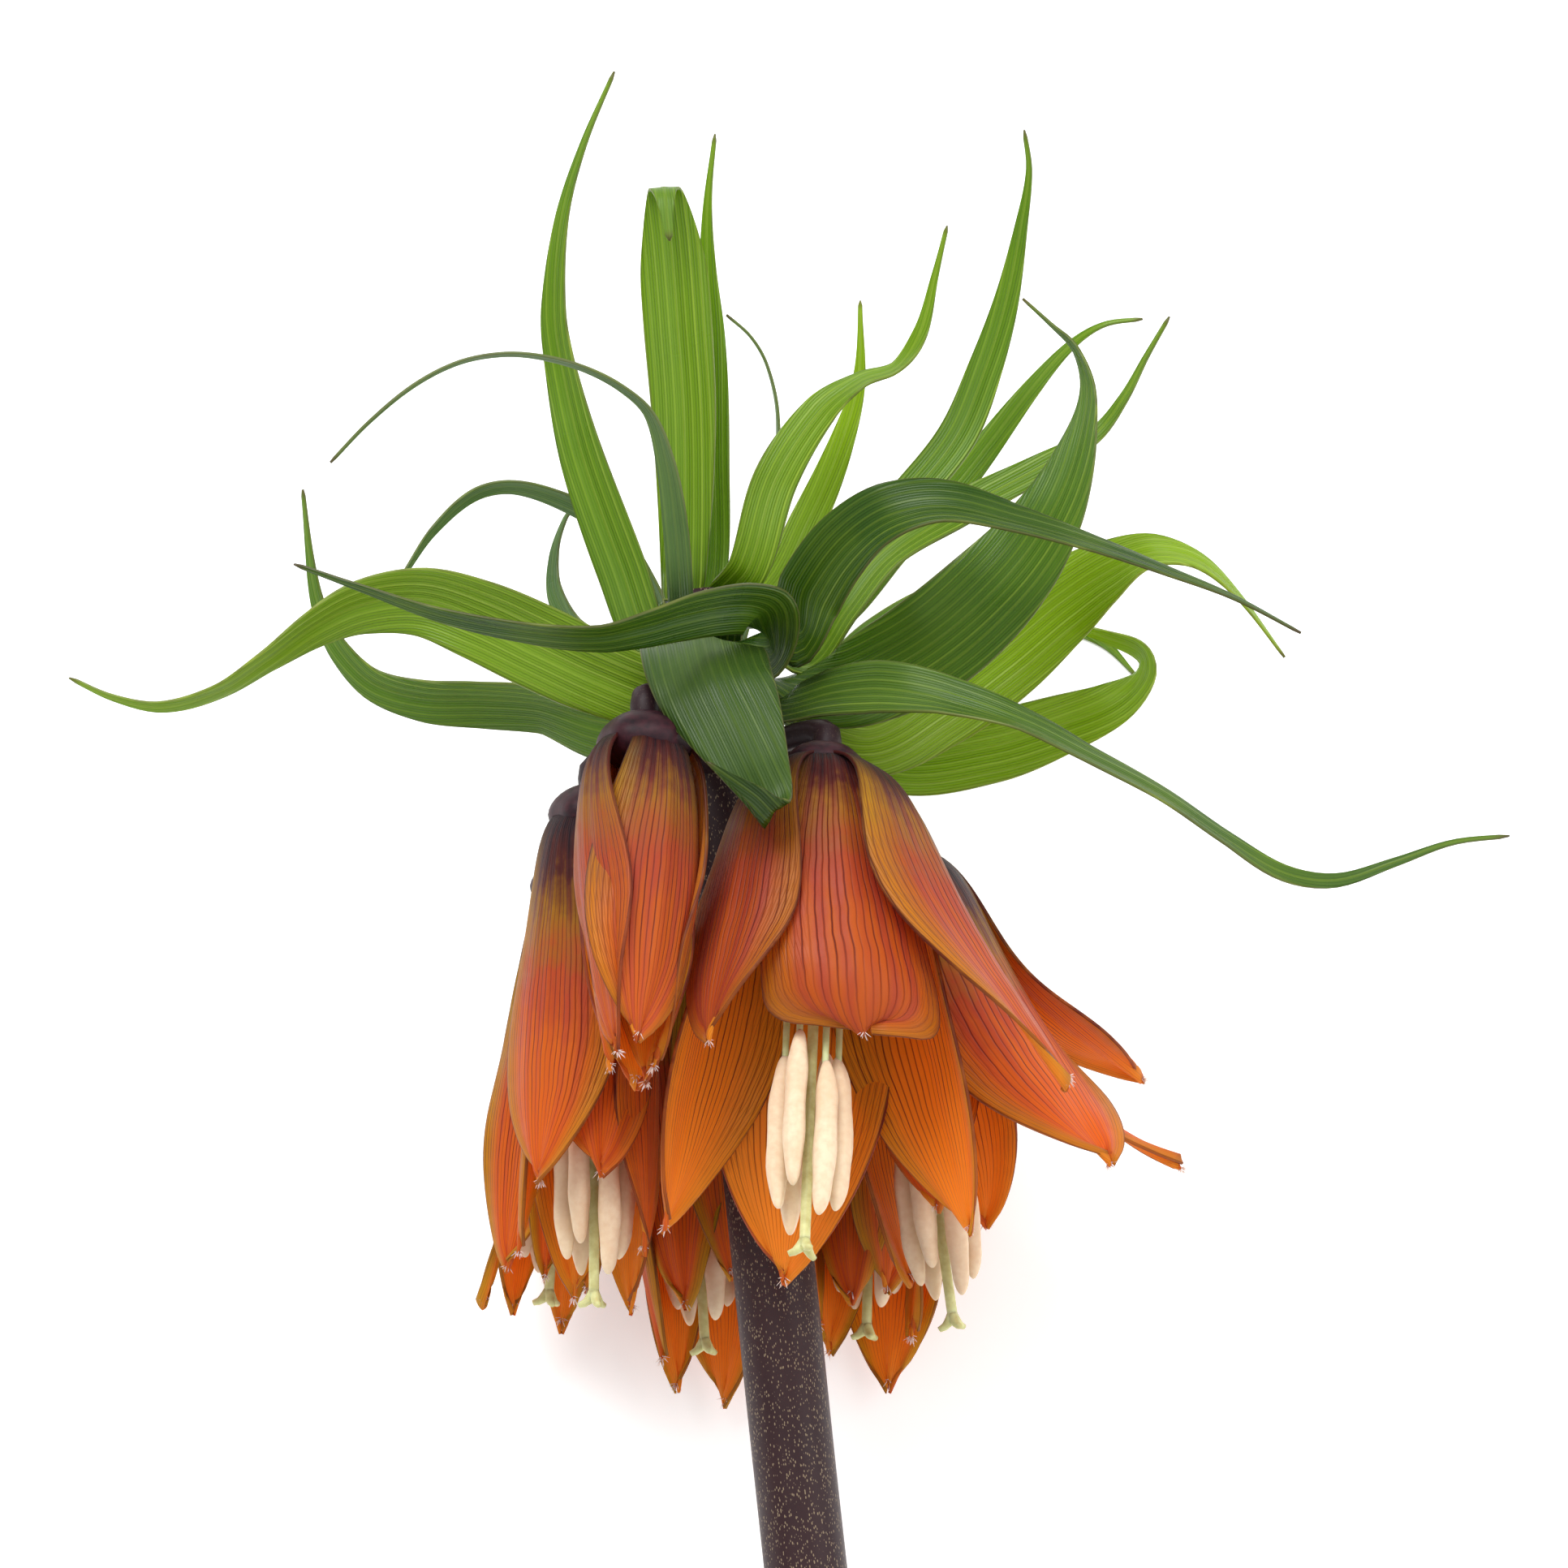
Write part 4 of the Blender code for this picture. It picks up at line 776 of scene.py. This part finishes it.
looks = {
    "leaf": leafMaterial("leaf upper side", False),
    "leafUnder": leafMaterial("leaf underside", True),
    "tepalOuter": tepalMaterial("tepal outside", False),
    "tepalInner": tepalMaterial("tepal inside", True),
    "dome": domeMaterial(),
    "stem": stemMaterial("speckled stem", True),
    "pedicel": stemMaterial("dark flower stalk", False),
    "pith": pithMaterial(),
    "anther": powderMaterial("anther"),
    "filament": powderMaterial("filament"),
    "style": powderMaterial("style"),
    "tuft": powderMaterial("tip hairs"),
}
print("materials made")


def finishPiece(form, name, materials, nodeName):
    mesh = bpy.data.meshes.new(name)
    for face in form.faces:
        face.smooth = True
    form.to_mesh(mesh)
    form.free()
    for material in materials:
        mesh.materials.append(material)
    piece = bpy.data.objects.new(name, mesh)
    bpy.context.scene.collection.objects.link(piece)
    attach(piece, "root")
    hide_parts(nodeName)
    return piece


def sheetInto(form, columns, rows, place, length, halfWidthAt, tone):
    # a grid of the blade: place gives each point from its share across and along
    made = bmesh.ops.create_grid(form, x_segments=columns, y_segments=rows, size=1.0)
    spots = {}
    for vertex in made["verts"]:
        spots[vertex] = (vertex.co.x, (vertex.co.y + 1) / 2)
        vertex.co = place(*spots[vertex])
    shareMap, sizeMap = (form.loops.layers.uv[name] for name in ("share", "centimetres"))
    toneLayer = form.verts.layers.float_color["tone"]
    for vertex in made["verts"]:
        vertex[toneLayer] = (*tone, 1.0)
    # one map holds shares of the blade, the other centimetres across and along it
    for face in {face for vertex in made["verts"] for face in vertex.link_faces}:
        for loop in face.loops:
            across, along = spots[loop.vert]
            loop[shareMap].uv = (across * 0.5 + 0.5, along)
            loop[sizeMap].uv = (across * halfWidthAt(along) * 0.1, along * length * 0.1)


def readyForm():
    # the layers come before any vertex, because adding one later loses the others
    form = bmesh.new()
    form.loops.layers.uv.new("share")
    form.loops.layers.uv.new("centimetres")
    form.verts.layers.float_color.new("tone")
    return form


def thicken(piece, thickness):
    shell = piece.modifiers.new("thickness", "SOLIDIFY")
    shell.thickness = thickness * 0.001
    shell.offset = 0.0
    shell.material_offset = 1
    shell.material_offset_rim = 0
    shell.use_even_offset = False


def acrossBlade(direction, roll):
    flat = direction.cross(Vector((0, 0, 1))).normalized()
    facing = flat.cross(direction)
    turned = math.radians(roll)
    return flat * math.cos(turned) + facing * math.sin(turned)


def leafStations(leaf):
    outward, sideways = roundStem(leaf["angle"])
    tierY = leafShape["tiers"][leaf["tier"]]
    away = stemRadiusAt(tierY) + leafShape["gap"] + leafShape["cadThickness"] * 0.5
    lean = math.radians(60.0 - 10.0 * leaf["tier"])
    root = stemAxis(tierY) + outward * away
    leaving = stemShape["direction"] * math.cos(lean) + outward * math.sin(lean)
    points = [root, root + leaving * 3.0]
    points += [seenAt(*station[:3]) for station in leaf["path"]]
    knots = knotsOf(points)
    sides = []
    for station, at in zip(leaf["path"], knots[2:]):
        if len(station) == 6:
            sides.append(Vector(station[3:]))
        else:
            slope = smoothPath(points, knots, min(at / knots[-1], 1.0))[1]
            sides.append(acrossBlade(slope, station[3]))
    if sideways.dot(sides[0]) < 0:
        sideways = -sideways
    return points, knots, [sideways, sideways] + sides, [at / knots[-1] for at in knots]


def leafHalfWidth(leaf, at):
    tip = leaf.get("tip", 0.45) * leafShape["tipShare"]
    root = leaf.get("base", min(leafShape["baseHalfWidth"], 0.7 * leaf["half"]))
    if at < leaf["widest"]:
        u = math.sin(at / leaf["widest"] * math.pi / 2)
        return root + (leaf["half"] - root) * u
    u = (at - leaf["widest"]) / (1 - leaf["widest"])
    return tip + (leaf["half"] - tip) * (0.5 + 0.5 * math.cos(math.pi * u)) ** 0.85


def roundedEnd(along, begins, least):
    # a factor on the width that draws the end of a blade in to a round tip
    if along <= begins:
        return 1.0
    return max(least, math.sqrt(max(0.0, 1 - ((along - begins) / (1 - begins)) ** 2)))


def growLeaf(name, leaf, number):
    points, knots, sides, shares = leafStations(leaf)
    length = knots[-1]
    own = random.Random(40 + number)
    waves, phase = own.uniform(1.5, 3.0), own.uniform(0, 6.28)

    def place(across, along):
        point, direction = smoothPath(points, knots, along)
        side = between(sides, shares, along)
        side = (side - direction * side.dot(direction)).normalized()
        facing = side.cross(direction)
        half = leafHalfWidth(leaf, along)
        half *= roundedEnd(along, leafShape["roundFrom"], 0.12)
        trough = leafShape["trough"] * half * (across**2 - 1)
        trough *= math.sin(math.pi * min(1, along * 1.3))
        keel = -leafShape["keel"] * half * math.exp(-((across / 0.22) ** 2))
        keel *= math.sin(math.pi * along) ** 0.5
        swing = math.sin(waves * 6.28 * along + phase + (1.1 if across > 0 else 0.0))
        ripple = leafShape["ripple"] * half * across**4 * swing * math.sin(math.pi * along)
        spot = point + side * (across * half) + facing * (trough + keel + ripple)
        return laid @ aboveSurface(spot, leafShape["cadThickness"] * 0.5)

    form = readyForm()
    sheetInto(form, leafShape["columns"], leafShape["rows"], place, length,
              lambda along: leafHalfWidth(leaf, along), leafTones[name])
    piece = finishPiece(form, name.replace("leaf_", "leafBlade_"),
                        (looks["leaf"], looks["leafUnder"]), name)
    thicken(piece, leafShape["thickness"])


def bellFrame(bell):
    top = seenAt(*bell["top"])
    axis = (seenAt(*bell["mouth"]) - top).normalized()
    front = Vector((0, 0, 1))
    front = (front - axis * front.dot(axis)).normalized()
    return top, axis, front, front.cross(axis)


def tepalProfile(bell, curl):
    # distance from the axis and depth below the top, step by step along the tepal
    radius, depth = tepalShape["rootRadius"], tepalShape["rootDepth"]
    steps = tepalShape["steps"]
    profile = [(radius, depth)]
    for step in range(steps):
        t = (step + 0.5) / steps
        swell = math.exp(-((t / bell["shoulder"]) ** 1.6))
        nearTip = max(0.0, (t - 0.72) / 0.28)
        opening = tepalShape["opening"]
        lean = opening + (tepalShape["shoulderAngle"] - opening) * swell + curl * nearTip**1.3
        radius += bell["length"] / steps * math.sin(math.radians(lean))
        depth += bell["length"] / steps * math.cos(math.radians(lean))
        profile.append((radius, depth))
    return profile


def onProfile(profile, along):
    where = along * (len(profile) - 1)
    k = min(int(where), len(profile) - 2)
    u = where - k
    return (profile[k][0] * (1 - u) + profile[k + 1][0] * u,
            profile[k][1] * (1 - u) + profile[k + 1][1] * u)


def tepalHalfWidth(full, at, widest, tip):
    if at < widest:
        rise = math.sin(at / widest * math.pi / 2) ** (0.5 + widest)
        return full * (0.24 + 0.76 * rise)
    u = (at - widest) / (1 - widest)
    return tip + (full - tip) * (1 - u**2.2)


def tepalEnd(tepal):
    return tepal[4:] or (tepalShape["widest"], tepalShape["tipHalfWidth"])


def tepalPlace(bell, number, own):
    angle, tip, curl, wide = bell["tepals"][number][:4]
    widest, tipHalf = tepalEnd(bell["tepals"][number])
    top, axis, front, right = bellFrame(bell)
    inner = number % 2
    face = math.radians(angle)
    outward = front * math.cos(face) + right * math.sin(face)
    sideways = right * math.cos(face) - front * math.sin(face)
    profile = tepalProfile(bell, curl)
    shift = seenAt(*tip) - (top + axis * profile[-1][1] + outward * profile[-1][0])
    waves, phase = own.uniform(1.2, 2.2), own.uniform(0, 6.28)

    def place(across, along):
        across = -across
        radius, depth = onProfile(profile, along)
        drift = shift * along**1.7
        radius -= inner * tepalShape["innerStep"] * min(1.0, along * 5) * (1.0 - along**4)
        half = tepalHalfWidth(bell["half"] * wide, along, widest, tipHalf)
        half *= roundedEnd(along, tepalShape["roundFrom"], 0.2)
        reach = radius + max(0.0, drift.dot(outward))
        bend = max(reach * (1.0 if inner else 1.15), half * 0.75, 3.5)
        turned = across * half / bend
        out = radius - bend + bend * math.cos(turned)
        aside = bend * math.sin(turned)
        lowered = math.sin(math.pi * min(1.0, along * 1.05))
        swing = math.sin(waves * 6.28 * along + phase + 1.4 * across)
        ripple = tepalShape["ripple"] * abs(across) ** 2.5 * min(1.0, along * 1.6) * swing
        folds = tepalShape["folds"] * math.sin(9.0 * across + phase) * min(1.0, along * 2)
        frill = tepalShape["frill"] * math.sin(5.2 * across + 2 * phase)
        frill *= max(0.0, along - 0.8) / 0.2
        midrib = tepalShape["midrib"] * math.exp(-((across / 0.10) ** 2)) * lowered
        spot = top + axis * (depth + frill) + outward * (out + ripple + midrib + folds)
        spot = spot + sideways * aside + drift
        return laid @ aboveSurface(spot, tepalShape["clearance"])

    return place, outward


def growBell(name, bell, seed):
    own = random.Random(seed)
    top, axis, _, _ = bellFrame(bell)
    form = readyForm()
    tips = []
    for number in range(len(bell["tepals"])):
        full = bell["half"] * bell["tepals"][number][3]
        widest, tipHalf = tepalEnd(bell["tepals"][number])
        place, outward = tepalPlace(bell, number, own)
        # the two nearest bells get painted shade, a deeper red, on the outer tepals that face the
        # viewer, and the bells at the back get broad gold edges, partly their own yellow margin and
        # partly painted backlit glow
        nearness = bell["top"][2]
        shade = 0.3 if outward.z < 0.2 or nearness < 10 else (0.72 if nearness < 20 else 0.5)
        giltAndBacklitGlow = (0.7, 1.0) if nearness < -10 else (0.05, 0.6)
        tone = (shade + own.uniform(-0.15, 0.15), own.uniform(*giltAndBacklitGlow), own.uniform(0.8, 1.0))
        sheetInto(form, tepalShape["columns"], tepalShape["rows"], place, bell["length"],
                  lambda along: tepalHalfWidth(full, along, widest, tipHalf), tone)
        tips.append((place(0.0, 1.0), (place(0.0, 1.0) - place(0.0, 0.93)).normalized()))
    piece = finishPiece(form, "bellTepals_" + name, (looks["tepalOuter"], looks["tepalInner"]),
                        "bell_" + name)
    thicken(piece, tepalShape["thickness"])

    form = bmesh.new()
    made = bmesh.ops.create_uvsphere(form, u_segments=domeShape["sides"], v_segments=18, radius=1.0)
    turn = (-axis).to_track_quat("Z", "Y").to_matrix().to_4x4()
    for vertex in made["verts"]:
        x, y, z = vertex.co
        around = math.atan2(y, x)
        lobes = 1.0 + 0.05 * math.cos(6 * around) * (1 - abs(z))
        width = domeShape["radius"] * lobes
        height = domeShape["depth"] * domeShape["rise" if z > 0 else "fall"]
        local = Vector((x * width, y * width, z * height - domeShape["depth"] * 0.62))
        vertex.co = laid @ (top + turn.to_3x3() @ local)
    bmesh.ops.recalc_face_normals(form, faces=form.faces)
    finishPiece(form, "bellDome_" + name, (looks["dome"],), "bell_" + name)

    form = bmesh.new()
    for tip, heading in tips:
        for _ in range(hairShape["perTip"]):
            away = Vector((own.gauss(0, 1), own.gauss(0, 1), own.gauss(0, 1))).normalized()
            reach = (heading * 0.9 + away * 0.9).normalized() * own.uniform(*hairShape["length"])
            made = bmesh.ops.create_cone(form, cap_ends=True, segments=4, depth=reach.length,
                                         radius1=hairShape["footRadius"],
                                         radius2=hairShape["endRadius"])
            stand = reach.to_track_quat("Z", "Y").to_matrix().to_4x4()
            middle = Matrix.Translation(tip + away * 0.0003 + reach * 0.4)
            bmesh.ops.transform(form, matrix=middle @ stand, verts=made["verts"])
    finishPiece(form, "bellTipHairs_" + name, (looks["tuft"],), "bell_" + name)


def tubeInto(form, points, radii, sides, materialNumber):
    # rings swept along a smooth path, closed at both ends
    knots = knotsOf(points)
    rings = 2 + int(knots[-1] / 1.2)
    made = bmesh.ops.create_grid(form, x_segments=sides, y_segments=rings, size=1.0)
    reference = Vector((0.31, 0.17, 0.93)).normalized()
    for vertex in made["verts"]:
        around, along = vertex.co.x * math.pi, (vertex.co.y + 1) / 2
        point, direction = smoothPath(points, knots, along)
        across = reference.cross(direction).normalized()
        other = direction.cross(across)
        k = along * (len(radii) - 1)
        low = min(int(k), len(radii) - 2)
        radius = radii[low] * (1 - (k - low)) + radii[low + 1] * (k - low)
        vertex.co = point + (across * math.cos(around) + other * math.sin(around)) * radius
    faces = list({face for vertex in made["verts"] for face in vertex.link_faces})
    bmesh.ops.remove_doubles(form, verts=made["verts"], dist=0.0005)
    faces = [face for face in faces if face.is_valid]
    rims = [edge for edge in {e for f in faces for e in f.edges} if edge.is_boundary]
    capped = bmesh.ops.holes_fill(form, edges=rims)
    for face in faces + capped["faces"]:
        face.material_index = materialNumber
    return faces + capped["faces"]


def growStamens(name, bell, seed):
    own = random.Random(seed)
    top, axis, front, right = bellFrame(bell)
    foot = top + axis * (domeShape["depth"] + 0.2)
    form = bmesh.new()
    styleEnd = top + axis * bell["reach"]
    tubeInto(form, [foot, foot + axis * 3, foot + axis * stamenShape["ovaryDepth"]],
             (1.2, stamenShape["ovaryRadius"], stamenShape["styleRadius"]), 14, 1)
    tubeInto(form, [foot + axis * stamenShape["ovaryDepth"] * 0.9,
                    (foot + styleEnd) / 2 + front * 0.3, styleEnd],
             (stamenShape["styleRadius"], stamenShape["styleRadius"]), 12, 2)
    for lobe in range(3):
        face = math.radians(120 * lobe + 20)
        outward = front * math.cos(face) + right * math.sin(face)
        tubeInto(form, [styleEnd - axis * 1.2, styleEnd + axis * 0.2 + outward * 0.8,
                        styleEnd + axis * 0.7 + outward * stamenShape["stigmaRadius"]],
                 (0.6, 0.62, 0.35), 10, 2)
    long = bell["reach"] * stamenShape["antherShare"]
    for number in range(6):
        face = math.radians(60 * number + 30)
        outward = front * math.cos(face) + right * math.sin(face)
        below = bell["reach"] - stamenShape["aboveStigma"]
        below -= stamenShape["stagger"] * (number % 3)
        ring = stamenShape["ring"]
        end = top + axis * below + outward * ring
        start = end - axis * long
        sway = right * own.uniform(-0.5, 0.5) + front * own.uniform(-0.4, 0.4)
        turn = (end - start + sway).to_track_quat("Z", "Y").to_matrix()
        made = bmesh.ops.create_uvsphere(form, u_segments=16, v_segments=22, radius=1.0)
        furrow = own.uniform(-0.6, 0.6)
        for vertex in made["verts"]:
            x, y, z = vertex.co
            blunt = math.copysign(abs(z) ** 0.85, z)
            around = math.atan2(y, x)
            swell = (1 - abs(blunt) ** 3.2) ** 0.5 / max(0.05, math.sqrt(max(1e-4, 1 - z * z)))
            groove = 1 - 0.22 * math.exp(-(((around - furrow) / 0.35) ** 2))
            groove -= 0.16 * math.exp(-(((abs(around) - 3.0) / 0.4) ** 2))
            radius = stamenShape["antherRadius"] * (1.0 + 0.06 * math.sin(9 * z + number)) * groove
            bow = outward * 0.5 * (1 - z * z)
            local = Vector((x * radius * swell, y * radius * swell * 0.88, blunt * long / 2))
            vertex.co = (start + end) / 2 + turn @ local + bow
        root = foot + axis * 1.2 + outward * stamenShape["ovaryRadius"] * 0.45
        tubeInto(form, [root, (root + start) / 2 + outward * 0.8, start + axis * 2.5],
                 (stamenShape["filamentRadius"] * 1.1, stamenShape["filamentRadius"] * 0.8), 8, 1)
    bmesh.ops.transform(form, matrix=laid, verts=form.verts)
    bmesh.ops.recalc_face_normals(form, faces=form.faces)
    finishPiece(form, "stamensAndStyle_" + name,
                (looks["anther"], looks["filament"], looks["style"]), "stamens_" + name)


def pedicelPath(bell):
    top, axis, _, _ = bellFrame(bell)
    start = stemAxis(stemShape["whorlY"])
    direction = stemShape["direction"]
    away = top - start
    away = away - direction * away.dot(direction)
    outward = away.normalized()
    end = top + axis * 1.8
    return [start + outward * 1.5,
            start + outward * (stemShape["radius"] + 1.5) + direction * 0.6,
            end - axis * 5.2, end]


def growStem():
    form = bmesh.new()
    low = stemAxis(stemShape["cutY"])
    made = bmesh.ops.create_grid(form, x_segments=stemShape["sides"],
                                 y_segments=stemShape["rows"], size=1.0)
    for vertex in made["verts"]:
        around, along = vertex.co.x * 180, (vertex.co.y + 1) / 2
        y = stemShape["cutY"] + along * (stemShape["apexY"] - stemShape["cutY"])
        outward, _ = roundStem(around)
        radius = stemRadiusAt(y)
        turned = math.radians(around)
        radius *= 1 + 0.008 * math.sin(5 * turned + y * 0.01) + 0.006 * math.sin(8 * turned - 1.3)
        radius -= 0.05 + 0.10 * noise.noise(Vector((math.cos(turned), math.sin(turned), y * 0.03)))
        vertex.co = stemAxis(y) + outward * radius
    bmesh.ops.remove_doubles(form, verts=form.verts, dist=0.001)
    rims = [edge for edge in form.edges if edge.is_boundary]
    caps = bmesh.ops.holes_fill(form, edges=rims)["faces"]
    lowCap = min(caps, key=lambda face: (face.calc_center_median() - low).length)
    rim = bmesh.ops.inset_region(form, faces=[lowCap], thickness=0.55, depth=0.0)
    lowCap.material_index = 1
    for face in rim["faces"]:
        face.material_index = 0
    for bell in bells.values():
        tubeInto(form, pedicelPath(bell),
                 (stemShape["pedicelRadius"] * 1.15, stemShape["pedicelRadius"] * 0.92,
                  stemShape["pedicelRadius"] * 1.1), 20, 2)
    bmesh.ops.transform(form, matrix=laid, verts=form.verts)
    bmesh.ops.recalc_face_normals(form, faces=form.faces)
    finishPiece(form, "speckledStem", (looks["stem"], looks["pith"], looks["pedicel"]),
                "stem")


growStem()
print("stem made")
for count, (name, bell) in enumerate(bells.items()):
    growBell(name, bell, 11 + count)
    growStamens(name, bell, 71 + count)
print("bells and stamens made")
for count, (name, leaf) in enumerate(leaves.items()):
    growLeaf(name, leaf, count)
print("leaves made")


# A light is its place, its size, its power and the point that it faces.
studio = {
    "floor": (0.97, 0.97, 0.965),
    "floorGlow": 0.32,
    "floorSize": 6.0,
    "worldStrength": 0.66,
    "key": ((-0.35, 0.60, 1.2), 0.8, 15.0, (0, 0.03, 0.05)),
    "fill": ((0.9, -0.15, 0.9), 1.4, 8.0, (0, 0.0, 0.05)),
}


def layFloor():
    form = bmesh.new()
    bmesh.ops.create_grid(form, x_segments=1, y_segments=1, size=studio["floorSize"] / 2)
    mesh = bpy.data.meshes.new("floor")
    form.to_mesh(mesh)
    form.free()
    material, tree, shader = newMaterial("pale floor")
    setInputs(tree, shader, Base_Color=studio["floor"], Roughness=0.9, Specular_IOR_Level=0.1,
              Emission_Color=(1.0, 1.0, 1.0), Emission_Strength=studio["floorGlow"])
    mesh.materials.append(material)
    floor = bpy.data.objects.new("floor", mesh)
    bpy.context.scene.collection.objects.link(floor)


def softLight(name, place, size, power, target):
    light = bpy.data.lights.new(name, "AREA")
    light.shape = "SQUARE"
    light.size = size
    light.energy = power
    lamp = bpy.data.objects.new(name, light)
    lamp.location = place
    lamp.rotation_euler = (Vector(target) - Vector(place)).to_track_quat("-Z", "Y").to_euler()
    bpy.context.scene.collection.objects.link(lamp)


def lightScene():
    world = bpy.data.worlds.new("studio")
    world.use_nodes = True
    setInputs(world.node_tree, world.node_tree.nodes["Background"], Color=(1.0, 1.0, 1.0),
              Strength=studio["worldStrength"])
    bpy.context.scene.world = world
    softLight("key", *studio["key"])
    softLight("fill", *studio["fill"])
    bpy.context.scene.view_settings.view_transform = "Standard"


def placeCamera():
    lens = bpy.data.cameras.new("photo view")
    lens.sensor_fit = "HORIZONTAL"
    lens.angle = 2 * math.atan(view["frameWidth"] / 2 / view["distance"])
    lens.clip_start = 0.01
    lens.clip_end = 20.0
    camera = bpy.data.objects.new("photo view", lens)
    shift = Vector((*view["centreShift"], view["restHeight"])) * 0.001
    back = Vector((0, 0, view["distance"] * 0.001))
    camera.matrix_world = (Matrix.Translation(shift) @ Matrix.Rotation(view["layAngle"], 4, "X")
                           @ Matrix.Translation(back))
    bpy.context.scene.collection.objects.link(camera)
    bpy.context.scene.camera = camera


layFloor()
lightScene()
placeCamera()
print("surface, light and camera placed")
